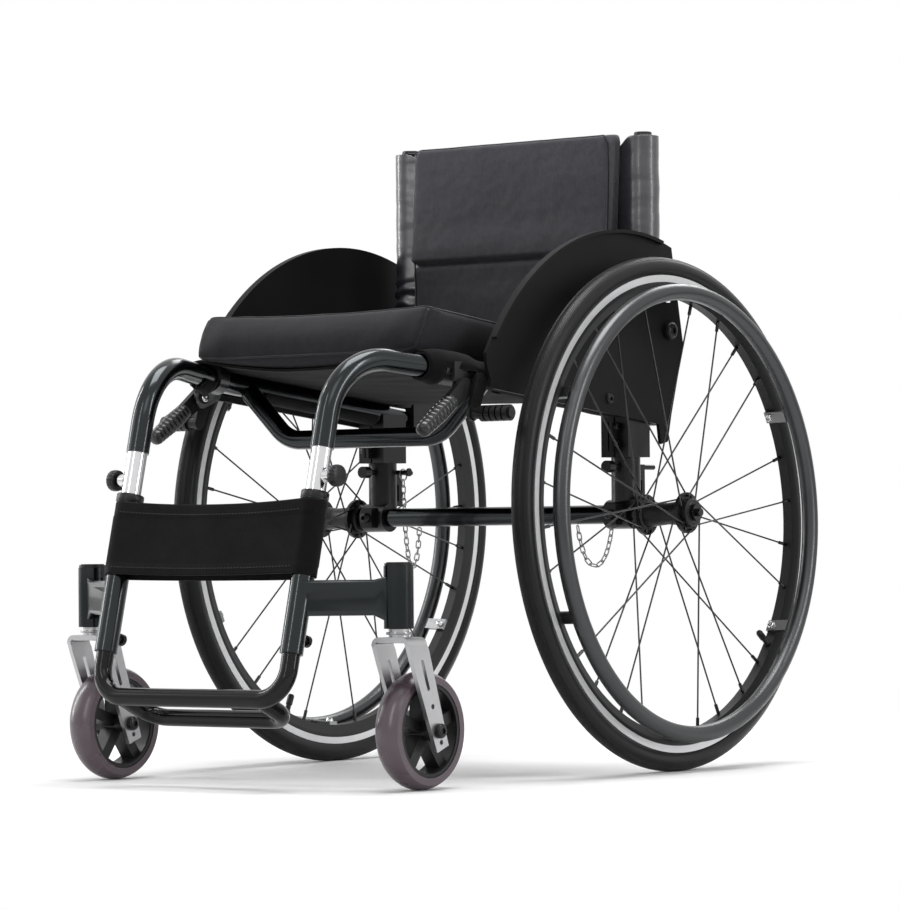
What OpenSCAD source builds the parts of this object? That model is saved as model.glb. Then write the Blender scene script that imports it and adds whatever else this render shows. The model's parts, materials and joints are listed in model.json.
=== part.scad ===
// Rigid sports wheelchair. Millimetres, +Z up, the chair faces -Y and its left side is +X.
// The origin lies on the floor, midway between the rear tyres and the footrest.

/* [Rear wheels] */
// Outside diameter of the rear tyres
tyre_d = 590; // [570:1:610]
// Diameter of the tyre's round section
tyre_section = 25; // [22:0.5:28]
// Distance between the two wheel centres
track = 489.4; // [484:0.2:500]
// Lean of each wheel, top inwards, in degrees
camber = 1.5; // [0.5:0.1:2.5]
// Width of the rim
rim_w = 20; // [18:0.5:21]
// Depth of the rim from its edge to its inner wall
rim_depth = 22.5; // [20:0.5:26]
// Spoke diameter
spoke_d = 2; // [1.6:0.1:2.4]
// Hub flange diameter
flange_d = 47; // [44:0.5:52]
// Distance from the wheel's plane to the inner hub flange
flange_in = 32; // [28:0.5:35]
// Distance from the wheel's plane to the outer hub flange
flange_out = 25; // [22:0.5:27]
// Middle diameter of the hand rim
handrim_d = 505.8; // [500:0.5:512]
// Diameter of the hand rim's tube
handrim_tube = 19; // [17:0.5:21]
// Distance from the wheel's plane to the hand rim
handrim_out = 31; // [30:0.5:36]
// Diameter of the quick-release axle
axle_d = 12.7; // [12:0.1:13.5]
// Diameter of the release button
button_d = 9; // [8:0.1:10]

/* [Side frame] */
// Outside diameter of the frame tubes
tube_d = 25.4; // [24:0.1:26.5]
// Wall of the frame tubes
tube_wall = 1.6; // [1.2:0.1:1.7]
// Distance from the middle to a seat rail
rail_x = 175; // [174:0.5:176]
// Distance from the middle to a front leg
leg_x = 132; // [128:1:136]
// Depth of the front corner ahead of the rear axle
corner_reach = 465; // [458:1:472]
// Height of the front corner of the side frame
corner_z = 469.4; // [464:0.2:474]
// Bend radius of the front corner
corner_r = 80; // [70:1:85]
// Lean of the front legs, in degrees
leg_lean = 14; // [13:0.1:15]
// Fall of the seat rails towards the back, in degrees
seat_fall = 6; // [5:0.1:6.5]
// Depth ahead of the rear axle where the rails start to draw in
taper_reach = 294; // [290:1:298]
// Height where the upper leg tube ends
leg_end_z = 366; // [362:1:370]

/* [Front legs and footrest] */
// Diameter of the polished leg posts
post_d = 22; // [21.6:0.1:22]
// Height of the top of the lower leg sleeves
sleeve_top_z = 318; // [314:1:322]
// Height of the bottom of the lower leg sleeves
sleeve_low_z = 147; // [143:1:152]
// Length of post inside the lower sleeve
post_in = 70; // [62:1:74]
// Diameter of the footrest tube
foot_d = 20; // [19:0.1:20]
// Height of the footrest's front bar
foot_z = 99; // [95:1:104]
// Height of the footrest's rear bar
foot_rear_z = 75; // [72:1:79]
// Distance from the front bar back to the rear bar
foot_depth = 50; // [44:1:56]
// Diameter of the pull knobs
knob_d = 22; // [20:0.5:24]
// Height of the calf strap's band
strap_h = 82; // [74:1:82]

/* [Casters] */
// Distance from the middle to a caster's swivel axis
caster_x = 218.8; // [214:0.2:224]
// Depth of the swivel axis ahead of the rear axle
caster_reach = 470.8; // [466:0.2:476]
// Caster wheel diameter
caster_d = 127; // [123:1:129]
// Caster tyre width
caster_w = 30; // [27:0.5:31]
// Trail of the caster wheel behind its swivel axis
caster_trail = 35; // [32:0.5:38]
// Outside diameter of the swivel housing
housing_d = 32; // [30:0.5:34]
// Height of the housing's lower face
housing_z = 172.8; // [170:0.2:175]
// Height of the housing itself
housing_h = 66.6; // [62:0.2:70]
// Outside width of the fork
fork_w = 50; // [48:0.5:52]
// Thickness of the fork's legs
fork_t = 5; // [4:0.1:5.5]

/* [Seat and back] */
// Width of the seat cushion
cushion_w = 320; // [314:1:324]
// Length of the seat cushion
cushion_l = 384; // [376:1:392]
// Thickness of the seat cushion
cushion_t = 51; // [46:1:56]
// Distance from the middle to a back cane
cane_x = 172.6; // [171.6:0.1:173.6]
// Distance of the canes behind the rear axle
cane_back = 60; // [58:0.5:62]
// Height of the top of the canes
cane_top_z = 738; // [728:1:748]
// Diameter of the back canes
cane_d = 22; // [21:0.1:22.4]
// Height of the back's folding pivot
pivot_z = 509; // [507:0.5:512]
// Width of the back pad
pad_w = 290; // [284:1:294]
// Thickness of the back pad
pad_t = 27; // [24:0.5:29]

/* [Side guards and rear axle] */
// Distance from the middle to a side guard's inner face
guard_x = 201; // [200.5:0.1:202]
// Thickness of a side guard
guard_t = 4; // [3:0.1:4.5]
// Radius of the guard's upper edge
guard_r = 310; // [304:1:316]
// How far the guard's lip stands outwards
guard_lip = 5; // [4:0.5:8]
// Outside diameter of the camber tube
camber_tube_d = 22.2; // [20:0.1:23]
// Diameter of the axle columns
column_d = 28; // [26:0.1:29]
// Distance from the middle to an axle column
column_x = 179.7; // [179:0.1:180.5]

/* [Brakes] */
// Length of a brake lever from its pivot
lever_l = 91; // [84:1:98]
// Slope of the lever below level, in degrees
lever_fall = 32.5; // [29:0.5:36]
// Diameter of the lever's ribbed grip
grip_d = 15; // [13:0.5:15.4]
// Diameter of a brake shoe
shoe_d = 18; // [16:0.5:19]

/* [Hidden] */
$fn = 48;

// Clearances: running fits, faces that stay apart, and soft pieces round their carriers
fit = 0.05;
gap = 0.3;
soft_gap = 0.4;
// A straight run laps over a bend, which is thinner by a hair as bent tube is
bend_lap = 0.5;
bend_thin = 0.04;

// Main places, with the rear axle at y = 0
tyre_r = tyre_d / 2;
section_r = tyre_section / 2;
hub_x = track / 2;
hub_z = (tyre_r - section_r) * cos(camber) + section_r;
tube_r = tube_d / 2;
rail_slope = tan(seat_fall);
leg_slope = tan(leg_lean);
corner = [leg_x, -corner_reach, corner_z];
leg_dir = [0, -sin(leg_lean), -cos(leg_lean)];
function rail_z(y) = corner_z - rail_slope * (y + corner_reach);
function leg_at(z) = [leg_x, -corner_reach - leg_slope * (corner_z - z), z];
rail_end_y = cane_back - 20;
rail_start = [rail_x, rail_end_y, rail_z(rail_end_y)];
rail_bend = [rail_x, -taper_reach, rail_z(-taper_reach)];
rail_bend_r = 100;
taper_dir = unit(corner - rail_bend);
frame_path = [rail_start, rail_bend, corner, leg_at(leg_end_z)];
foot_front = leg_at(foot_z);
// The whole chair is moved back so that its front and rear reach alike from the origin
axle_y = (foot_d / 2 - foot_front[1] - tyre_r) / 2;

function unit(v) = v / norm(v);
function bend_angle(a, b, c) = acos(unit(b - a) * unit(c - b));
function bend_take(p, i, r) = r * tan(bend_angle(p[i - 1], p[i], p[i + 1]) / 2);
function columns(x, y, z, o) = [
  [x[0], y[0], z[0], o[0]], [x[1], y[1], z[1], o[1]], [x[2], y[2], z[2], o[2]], [0, 0, 0, 1]
];
function across(d) = unit(cross(abs(d[2]) < 0.9 ? [0, 0, 1] : [1, 0, 0], d));

// Puts the children on a line from a towards b, along their own +Z
module along(a, b) {
  d = unit(b - a);
  x = across(d);
  multmatrix(columns(x, cross(d, x), d, a)) children();
}

// Round rod between two points
module rod(a, b, d) {
  along(a, b) cylinder(d = d, h = norm(b - a));
}

// Round bar along a path of points, bent to the given radii at its inner points
module bent_bar(path, radii, d) {
  last = len(path) - 1;
  for (i = [0 : last - 1]) {
    u = unit(path[i + 1] - path[i]);
    start = i == 0 ? path[i] : path[i] + u * bend_take(path, i, radii[i - 1]);
    end = i == last - 1 ? path[i + 1] : path[i + 1] - u * bend_take(path, i + 1, radii[i]);
    rod(start - u * (i == 0 ? 0 : bend_lap), end + u * (i == last - 1 ? 0 : bend_lap), d);
  }
  for (i = [1 : last - 1]) {
    u = unit(path[i] - path[i - 1]);
    w = unit(path[i + 1] - path[i]);
    inward = unit(w - u * (u * w));
    start = path[i] - u * bend_take(path, i, radii[i - 1]);
    multmatrix(columns(-inward, u, cross(-inward, u), start + inward * radii[i - 1]))
      rotate_extrude(angle = bend_angle(path[i - 1], path[i], path[i + 1]))
        translate([radii[i - 1], 0]) circle(d = d - bend_thin);
  }
}

// Places what is drawn with the axle at y = 0, on the left or mirrored to the right
module at_axle() {
  translate([0, axle_y, 0]) children();
}
module on_side(side) {
  at_axle() mirror([side < 0 ? 1 : 0, 0, 0]) children();
}
module both_sides() {
  for (side = [1, -1]) on_side(side) children();
}
// Turns a solid of revolution about Z so that its axis lies along X
module along_x() {
  rotate([0, 90, 0]) children();
}
// A round bar along X from one distance to another, at a height and depth
module bar_x(x0, x1, y, z, d) {
  translate([x0, y, z]) along_x() cylinder(d = d, h = x1 - x0);
}
// A plate in the Y-Z plane between two distances from the middle
module plate_x(x0, x1) {
  translate([x0, 0, 0]) rotate([90, 0, 90]) linear_extrude(x1 - x0) children();
}
// Outline of two round ends joined by straight sides
module link_outline(a, b, ra, rb) {
  d = b - a;
  turn = atan2(d[1], d[0]);
  tilt = acos((ra - rb) / norm(d));
  translate(a) circle(ra);
  translate(b) circle(rb);
  polygon([for (s = [1, -1]) a + ra * [cos(turn + s * tilt), sin(turn + s * tilt)],
           for (s = [-1, 1]) b + rb * [cos(turn + s * tilt), sin(turn + s * tilt)]]);
}

// Side frame: seat rail and front leg, one bent tube
module side_frame(side) {
  radii = [rail_bend_r, corner_r];
  color([0.2, 0.22, 0.23]) on_side(side) difference() {
    bent_bar(frame_path, radii, tube_d);
    bent_bar(frame_path, radii, post_d + 2 * fit);
  }
}

// Polished post in the end of each upper leg, with the boss of its pull knob
knob_z = 336;
post_up = 32;
post_bore = 18.2;
boss_d = 14;
boss_l = 7;
plunger_d = 6;
post_top = leg_at(leg_end_z) - leg_dir * post_up;
post_low = leg_at(sleeve_top_z) + leg_dir * post_in;
knob_at = leg_at(knob_z);
boss_x = leg_x + post_d / 2 + boss_l;
module leg_posts() {
  color("silver") both_sides() difference() {
    union() {
      rod(post_top, post_low, post_d);
      bar_x(leg_x + post_bore / 2 + 0.5, boss_x, knob_at[1], knob_at[2], boss_d);
    }
    rod(post_top - leg_dir, post_low + leg_dir, post_bore);
    bar_x(leg_x, boss_x + 1, knob_at[1], knob_at[2], plunger_d + 2 * fit);
  }
}

// Cross brace: a bent tube hung between the two rails
brace_d = 22;
brace_y = -255;
brace_drop = 64;
brace_half = 110;
brace_r = 45;
module cross_brace() {
  rail = [rail_x, brace_y, rail_z(brace_y)];
  low_z = rail[2] - brace_drop;
  path = [[-rail_x, brace_y, rail[2]], [-brace_half, brace_y, low_z],
          [brace_half, brace_y, low_z], rail];
  reach = [0, 60, -60 * rail_slope];
  color([0.17, 0.18, 0.19]) at_axle() difference() {
    bent_bar(path, [brace_r, brace_r], brace_d);
    bent_bar(path, [brace_r, brace_r], brace_d - 2 * tube_wall);
    for (s = [1, -1]) rod([s * rail[0], rail[1], rail[2]] - reach,
                          [s * rail[0], rail[1], rail[2]] + reach, tube_d + gap);
  }
}

// Seat sling: a sheet over the rails, sewn into a sleeve round each one
sling_t = 2.5;
sling_front = corner_reach - 72;
sling_back = 12;
sling_d = tube_d + 2 * soft_gap;
brake_reach = max(taper_reach + 2, tyre_r + 1);
clamp_reach = brake_reach + 24;
clamp_l = 22;
bracket_y = 8;
bracket_l = 44;
function rail_at(y) = y > -taper_reach ? [rail_x, y, rail_z(y)]
  : rail_bend + taper_dir * (y + taper_reach) / taper_dir[1];
module sling_sleeve(y0, y1) {
  rod(rail_at(y0), rail_at(y1), sling_d + 2 * sling_t);
}
module seat_sling() {
  front = rail_at(-sling_front);
  top = tube_r + soft_gap;
  color([0.08, 0.08, 0.09]) at_axle() difference() {
    union() {
      for (s = [0, 1]) mirror([s, 0, 0]) {
        sling_sleeve(-sling_front, -clamp_reach - clamp_l / 2 - 7);
        sling_sleeve(brace_y + brace_d / 2 + 9, bracket_y - bracket_l / 2 - 3);
      }
      translate([0, 0, rail_z(0)]) rotate([-seat_fall, 0, 0]) translate([0, 0, top])
        linear_extrude(sling_t) scale([1, 1 / cos(seat_fall)]) polygon([
          [-front[0], front[1]], [front[0], front[1]], [rail_x, -taper_reach], [rail_x, sling_back],
          [-rail_x, sling_back], [-rail_x, -taper_reach]]);
    }
    for (s = [0, 1]) mirror([s, 0, 0]) {
      bent_bar(frame_path, [rail_bend_r, corner_r], sling_d);
      translate(rail_at(-clamp_reach) - [25, clamp_l / 2 + 7, 20]) cube([50, clamp_l + 30, 50]);
      translate([rail_x - 25, bracket_y - bracket_l / 2 - 3, rail_z(0) - 20]) cube([50, 60, 50]);
    }
  }
}

// A soft block lofted along Y: rounded sections that crown at the middle and draw in at the sides
function block_ring(w, low, high, crown, n) = [
  for (i = [0 : n - 1])
    let (a = 360 * i / n + 180 / n, c = cos(a), s = sin(a), e = 0.32,
         x = sign(c) * pow(abs(c), e) * w / 2, h = sign(s) * pow(abs(s), e),
         swell = 1 - pow(abs(2 * x / w), 2.4))
    [x, (low + high) / 2 + h * (high - low) / 2 + (h > 0 ? crown * swell * h : 0)]
];
module loft(rings) {
  n = len(rings[0]);
  m = len(rings);
  points = [for (ring = rings) each ring];
  skin = [for (j = [0 : m - 2], i = [0 : n - 1]) let (k = (i + 1) % n)
    each [[j * n + i, j * n + k, (j + 1) * n + k], [j * n + i, (j + 1) * n + k, (j + 1) * n + i]]];
  caps = [for (i = [1 : n - 2]) each [[0, i + 1, i], [(m - 1) * n, (m - 1) * n + i, (m - 1) * n + i + 1]]];
  polyhedron(points, concat(skin, caps), convexity = 4);
}

// Seat cushion: crowned, with drawn-in sides and a bevelled front edge
cushion_front = 362;
cushion_crown = 5;
cushion_rings = 18;
cushion_points = 40;
cushion_drawn = 5;
cushion_edge = 16;
module seat_cushion() {
  base = tube_r + soft_gap + sling_t + soft_gap;
  color([0.16, 0.16, 0.17]) at_axle()
    translate([0, 0, rail_z(0)]) rotate([-seat_fall, 0, 0])
      loft([for (j = [0 : cushion_rings])
        let (t = j / cushion_rings, v = (1 - cos(180 * t)) / 2, y = -cushion_front + cushion_l * v,
             end = min(v, 1 - v) * cushion_l, round = end > cushion_edge ? 0
               : cushion_edge - sqrt(cushion_edge ^ 2 - (cushion_edge - end) ^ 2),
             w = cushion_w - cushion_drawn * sin(180 * v) - round * 0.7)
        [for (q = block_ring(w, base + round * 0.35, base + cushion_t - round * 0.6,
                             cushion_crown * sin(180 * v), cushion_points)) [q[0], y, q[1]]]]);
}

// Back bracket: plugs the rear end of a rail, carries the cane's pivot and a receiver for anti-tip bars
bracket_wall = 4;
receiver_d = 20;
receiver_l = 34;
spigot_l = 24;
pivot_bolt_d = 8;
cheek_top_z = pivot_z + 36;
block_h = 30;
block_l = 44;
pivot_r = norm([cane_d / 2, 14]);
cheek_in = cane_x - cane_d / 2 - gap - bracket_wall;
cheek_out = cane_x + cane_d / 2 + gap + bracket_wall;
module back_bracket(side) {
  block_y = rail_end_y + tube_r * sin(seat_fall) + gap;
  block_z = rail_z(cane_back);
  stop_y = cane_back + cane_d / 2 + gap;
  color([0.12, 0.12, 0.13]) on_side(side) difference() {
    union() {
      translate([cheek_in, block_y, block_z - block_h / 2]) cube([cheek_out - cheek_in, block_l, block_h]);
      for (x = [cheek_in, cheek_out - bracket_wall]) plate_x(x, x + bracket_wall) union() {
        polygon([[block_y, block_z + block_h / 2 - 1], [block_y + block_l, block_z + block_h / 2 - 1],
                 [stop_y + bracket_wall, cheek_top_z - 8], [stop_y + bracket_wall, cheek_top_z],
                 [cane_back - 8, cheek_top_z], [cane_back - 14, pivot_z - 6]]);
        translate([cane_back, pivot_z]) circle(15);
      }
      translate([cheek_in, stop_y, pivot_z + pivot_r - 2])
        cube([cheek_out - cheek_in, bracket_wall, cheek_top_z - pivot_z - pivot_r + 2]);
      rod(rail_start + [0, gap, -gap * rail_slope] * 2, rail_start + [0, -spigot_l, spigot_l * rail_slope],
          post_d - 2 * fit);
    }
    bar_x(cheek_in - 1, cheek_out + 1, cane_back, pivot_z, pivot_bolt_d + 2 * fit);
    translate([cane_x, block_y + block_l + 1, block_z]) rotate([90, 0, 0])
      cylinder(d = receiver_d, h = receiver_l + 1);
  }
}

// Pivot bolts of the back, through guard, bracket and cane
bolt_head_d = 22;
bolt_head_l = 6;
nut_d = 13;
nut_l = 6;
module back_pivot_bolts() {
  color([0.1, 0.1, 0.1]) both_sides() {
    bar_x(cheek_in - nut_l, guard_x + guard_t + 1, cane_back, pivot_z, pivot_bolt_d);
    bar_x(guard_x + guard_t, guard_x + guard_t + bolt_head_l, cane_back, pivot_z, bolt_head_d);
    bar_x(cheek_in - nut_l, cheek_in, cane_back, pivot_z, nut_d);
    bar_x(cheek_out, guard_x, cane_back, pivot_z, nut_d);
  }
}

// Side guard: a flat panel under a lip that curls outwards along its upper edge
guard_c = [-28, 312];
nose_r = 58;
guard_floor = rail_z(0) - 17;
guard_rear = cane_back + 32;
lip_t = 4;
guard_bosses = [-60, -200];
function guard_low(y) = guard_floor - rail_slope * y;
module guard_outline() {
  nose_y = guard_c[0] - sqrt(guard_r ^ 2 - 160 ^ 2) + 30;
  intersection() {
    translate(guard_c) circle(guard_r, $fn = 160);
    union() {
      polygon([[nose_y, guard_low(nose_y)], [40, guard_low(40)], [44, guard_low(40) - 23],
               [58, guard_low(40) - 20], [guard_rear - 26, guard_low(40) + 12], [guard_rear, pivot_z - 16],
               [guard_rear - 22, pivot_z + 94], [guard_rear - 28, pivot_z + 140], [nose_y, pivot_z + 140]]);
      intersection() {
        translate([nose_y - 30 + nose_r, 472]) circle(nose_r);
        polygon([[nose_y - 40, guard_low(nose_y - 40)], [nose_y + 1, guard_low(nose_y + 1)],
                 [nose_y + 1, pivot_z + 60], [nose_y - 40, pivot_z + 60]]);
      }
    }
  }
}
module side_guard(side) {
  lip_from = 76;
  lip_sweep = 69;
  color([0.07, 0.07, 0.08]) on_side(side) difference() {
    union() {
      plate_x(guard_x, guard_x + guard_t) guard_outline();
      translate([guard_x, guard_c[0], guard_c[1]]) rotate([90, 0, 90]) rotate([0, 0, lip_from])
        rotate_extrude(angle = lip_sweep, $fn = 160)
          translate([guard_r - lip_t, 0]) square([lip_t, guard_t + guard_lip]);
      for (y = guard_bosses) bar_x(rail_x + sling_d / 2 + sling_t + gap, guard_x + 1, y, rail_z(y), 14);
    }
    bar_x(guard_x - 1, guard_x + guard_t + 1, cane_back, pivot_z, pivot_bolt_d + 2 * fit);
  }
}

// Column bracket: a block under the rail that the axle column slides in
clamp_w = 34;
clamp_d = 34;
rail_low = rail_z(bracket_y) - tube_r;
clamp_top = hub_z + clamp_d / 2;
column_room = rail_low - clamp_top;
column_z = rail_low - 2;
bracket_h = 0.484 * column_room;
pin_z = clamp_top + 0.4 * column_room;
bracket_w = 38;
module column_bracket(side) {
  rail = rail_at(bracket_y);
  reach = [0, 50, -50 * rail_slope];
  low = rail[2] - tube_r - bracket_h;
  color([0.1, 0.1, 0.11]) on_side(side) difference() {
    union() {
      translate([column_x - bracket_w / 2, bracket_y - bracket_l / 2, low])
        cube([bracket_w, bracket_l, bracket_h + tube_r]);
      translate([column_x - 5, bracket_y - bracket_l / 2 - 12, low + 6]) cube([10, 13, bracket_h - 12]);
    }
    rod(rail - reach, rail + reach, tube_d + gap);
    translate([column_x, bracket_y, low - 1]) cylinder(d = column_d + 4 * fit, h = column_z - low + 1);
    translate([column_x - 1, bracket_y - bracket_l / 2 - 13, low - 1]) cube([2, 22, bracket_h]);
  }
}

// Brake clamp: a ring round the rail with the base plate that carries the two pivots
pivot_d = 8;
lever_reach = brake_reach + 22;
lever_at = [-lever_reach, rail_z(-lever_reach) - 21];
shoe_pivot = [-brake_reach, rail_z(-brake_reach) - 11];
clamp_ring_d = tube_d + 9;
base_x = rail_x + 10;
base_t = 4;
lever_t = 6;
lever_x = base_x + base_t + 0.4;
arm_x = lever_x + lever_t + 0.6;
arm_t = 4;
module brake_clamp(side) {
  at = rail_at(-clamp_reach);
  half = taper_dir * clamp_l / 2;
  color([0.55, 0.56, 0.58]) on_side(side) difference() {
    union() {
      rod(at - half, at + half, clamp_ring_d);
      translate([at[0], at[1] - 9, at[2] - 8]) cube([base_x + 1 - at[0], 18, 16]);
      plate_x(base_x, base_x + base_t) union() {
        link_outline(lever_at, shoe_pivot, 12, 11);
        translate([at[1] - 10, at[2] - 14]) square([24, 22]);
      }
    }
    bent_bar(frame_path, [rail_bend_r, corner_r], tube_d + gap);
    for (p = [lever_at, shoe_pivot]) bar_x(base_x - 1, base_x + base_t + 1, p[0], p[1], pivot_d + 2 * fit);
  }
}

// Pivot pins of the brakes, with their heads
module brake_pins() {
  head_l = 3;
  head_d = 14;
  color([0.1, 0.1, 0.1]) both_sides() {
    bar_x(base_x - head_l, lever_x + lever_t + gap, lever_at[0], lever_at[1], pivot_d);
    bar_x(base_x - head_l, base_x, lever_at[0], lever_at[1], head_d);
    bar_x(base_x, arm_x + arm_t + gap, shoe_pivot[0], shoe_pivot[1], pivot_d);
    bar_x(base_x + base_t, arm_x - gap, shoe_pivot[0], shoe_pivot[1], pivot_d + 4);
  }
}

// Brake lever: a flat arm with a ribbed grip
grip_l = 58;
grip_ribs = 8;
module brake_lever(side) {
  tip = lever_at - (lever_l - grip_d / 2) * [cos(lever_fall), sin(lever_fall)];
  grip_x = lever_x + lever_t / 2;
  color([0.09, 0.09, 0.1]) on_side(side) difference() {
    union() {
      plate_x(lever_x, lever_x + lever_t) link_outline(lever_at, tip, 11, 5);
      translate([grip_x, lever_at[0], lever_at[1]]) rotate([90 + lever_fall, 0, 0])
        translate([0, 0, lever_l - grip_l]) {
          cylinder(d = grip_d - 2, h = grip_l);
          for (i = [0 : grip_ribs - 1])
            translate([0, 0, i * grip_l / grip_ribs + 2]) cylinder(d = grip_d, h = grip_l / grip_ribs - 3);
        }
    }
    bar_x(lever_x - 1, lever_x + lever_t + 1, lever_at[0], lever_at[1], pivot_d + 2 * fit);
  }
}

// Brake shoe: a short arm with a round bar that meets the tyre
// When it is pressed, a shoe's middle is this far from the axle
shoe_clear = 0.9;
shoe_press = 38.9;
pressed_r = tyre_r + shoe_d / 2 + shoe_clear;
pivot_way = [0, hub_z] - shoe_pivot;
pivot_far = norm(pivot_way);
shoe_arm = max(39, pivot_far - pressed_r + 13);
shoe_turn = atan2(pivot_way[1], pivot_way[0]) - shoe_press
  - acos((pivot_far ^ 2 + shoe_arm ^ 2 - pressed_r ^ 2) / (2 * pivot_far * shoe_arm));
shoe_at = shoe_pivot + shoe_arm * [cos(shoe_turn), sin(shoe_turn)];
shoe_end = hub_x + 8;
module brake_shoe(side) {
  color([0.12, 0.12, 0.13]) on_side(side) difference() {
    union() {
      plate_x(arm_x, arm_x + arm_t) link_outline(shoe_pivot, shoe_at, 10, 8);
      bar_x(arm_x, shoe_end, shoe_at[0], shoe_at[1], shoe_d - 6);
      for (x = [arm_x + arm_t + 12 : 8 : shoe_end - 8]) bar_x(x, x + 6, shoe_at[0], shoe_at[1], shoe_d);
    }
    bar_x(arm_x - 1, arm_x + arm_t + 1, shoe_pivot[0], shoe_pivot[1], pivot_d + 2 * fit);
  }
}

// Back cane: a straight tube with its pivot bore near the lower end
cane_low_z = pivot_z - 14;
plug_h = 5;
plug_in = 18;
module cane(side) {
  color([0.2, 0.2, 0.21]) on_side(side) difference() {
    translate([cane_x, cane_back, cane_low_z]) cylinder(d = cane_d, h = cane_top_z - cane_low_z);
    translate([cane_x, cane_back, cane_top_z - 150]) cylinder(d = cane_d - 2 * tube_wall, h = 151);
    bar_x(cane_x - cane_d, cane_x + cane_d, cane_back, pivot_z, pivot_bolt_d + 2 * fit);
  }
}
module cane_plugs() {
  color([0.06, 0.06, 0.06]) both_sides() {
    translate([cane_x, cane_back, cane_top_z]) cylinder(d = cane_d - 2, h = plug_h);
    translate([cane_x, cane_back, cane_top_z - plug_in])
      cylinder(d = cane_d - 2 * tube_wall - 2 * fit, h = plug_in);
  }
}

// Cross bar that ties the canes together behind the sling
cross_z = cheek_top_z + 24;
cross_d = 16;
module back_cross_bar() {
  cross_y = cane_back + cane_d / 2 + cross_d / 2 + 8;
  color([0.2, 0.2, 0.21]) at_axle() {
    bent_bar([[-cane_x, cane_back + cane_d / 2 + gap, cross_z], [-cane_x, cross_y, cross_z],
              [cane_x, cross_y, cross_z], [cane_x, cane_back + cane_d / 2 + gap, cross_z]], [15, 15], cross_d);
  }
}

// Back sling: a sheet between the canes with a sleeve round each one
sleeve_low_edge = cross_z + cross_d / 2 + 2;
back_sleeve_t = 4.6;
sheet_t = 3;
module back_sling() {
  top = cane_top_z - 6;
  sheet_y = cane_back - 7;
  color([0.1, 0.1, 0.11]) at_axle() difference() {
    union() {
      for (s = [1, -1]) translate([s * cane_x, cane_back, sleeve_low_edge])
        cylinder(d = cane_d + 2 * soft_gap + 2 * back_sleeve_t, h = top - sleeve_low_edge);
      translate([-cane_x, sheet_y, sleeve_low_edge]) cube([2 * cane_x, sheet_t, top - sleeve_low_edge]);
    }
    for (s = [1, -1]) translate([s * cane_x, cane_back, sleeve_low_edge - 1])
      cylinder(d = cane_d + 2 * soft_gap, h = top - sleeve_low_edge + 2);
  }
}

// Back pad: two padded fields with a sewn channel between them
pad_low_z = pivot_z + 6;
pad_high_z = cane_top_z + 3;
pad_seam_z = 606;
pad_rings = 22;
pad_points = 40;
pad_edge = 10;
module back_pad() {
  rear = cane_back - 7 - soft_gap;
  span = pad_high_z - pad_low_z;
  color([0.15, 0.15, 0.16]) at_axle()
    loft([for (j = [0 : pad_rings])
      let (t = j / pad_rings, v = (1 - cos(180 * t)) / 2, h = pad_low_z + span * v,
           end = min(v, 1 - v) * span,
           round = end > pad_edge ? 0 : pad_edge - sqrt(pad_edge ^ 2 - (pad_edge - end) ^ 2),
           channel = 7 * exp(-((h - pad_seam_z) / 7) ^ 2))
      [for (q = block_ring(pad_w - round - 4 * sin(180 * v), -rear + round * 0.2,
                           -rear + pad_t - round * 0.8 - channel, 4 * sin(180 * v), pad_points))
        [q[0], -q[1], h]]]);
}

// Camber tube with its bores for the two quick-release axles
tube_end_x = hub_x - flange_in - 9;
axle_in = 70;
module wheel_place() {
  translate([hub_x, 0, hub_z]) rotate([0, -camber, 0]) children();
}
module camber_tube() {
  color([0.2, 0.22, 0.23]) at_axle() difference() {
    bar_x(-tube_end_x, tube_end_x, 0, hub_z, camber_tube_d);
    for (s = [0, 1]) mirror([s, 0, 0]) wheel_place()
      bar_x(-axle_in - 60, 0, 0, 0, axle_d + 2 * fit);
  }
}

// Axle column: a clamp on the camber tube with the post that sets the seat's rear height
collar_wide = 34;
peg_d = 5;
module axle_column(side) {
  foot = hub_z + camber_tube_d / 2;
  color([0.1, 0.1, 0.11]) on_side(side) difference() {
    union() {
      bar_x(column_x - clamp_w / 2, column_x + clamp_w / 2, 0, hub_z, clamp_d);
      translate([column_x, bracket_y, hub_z]) cylinder(d = column_d, h = column_z - 2 - hub_z);
      translate([column_x, bracket_y, hub_z]) cylinder(d = collar_wide, h = rail_low - bracket_h - gap - hub_z);
      translate([column_x - 6, bracket_y, foot + 3]) cube([12, 30, pin_z - foot]);
      translate([column_x - 8, -clamp_d / 2 - 8, hub_z - 12]) cube([16, 12, 24]);
      bar_x(chain_x - link_l, column_x - 10, chain_y, pin_z, peg_d);
      bar_x(chain_x - link_l - 2, chain_x - link_l, chain_y, pin_z, 2 * peg_d);
    }
    bar_x(column_x - clamp_w, column_x + clamp_w, 0, hub_z, camber_tube_d + 2 * fit);
    translate([column_x, bracket_y - column_d, pin_z]) rotate([-90, 0, 0]) cylinder(d = 6.2, h = 80);
    translate([column_x - 7, bracket_y + 19, foot + 9]) cube([14, 5, 0.45 * (pin_z - foot)]);
  }
}

// Column pins: a knob ahead of each column and a pin that runs out behind it
module column_pins() {
  color([0.6, 0.6, 0.62]) both_sides() {
    translate([column_x, bracket_y - column_d / 2 - 26, pin_z]) rotate([-90, 0, 0]) cylinder(d = 6, h = 96);
    translate([column_x, bracket_y - column_d / 2 - 26, pin_z]) rotate([-90, 0, 0]) cylinder(d = 14, h = 11);
  }
}

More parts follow.
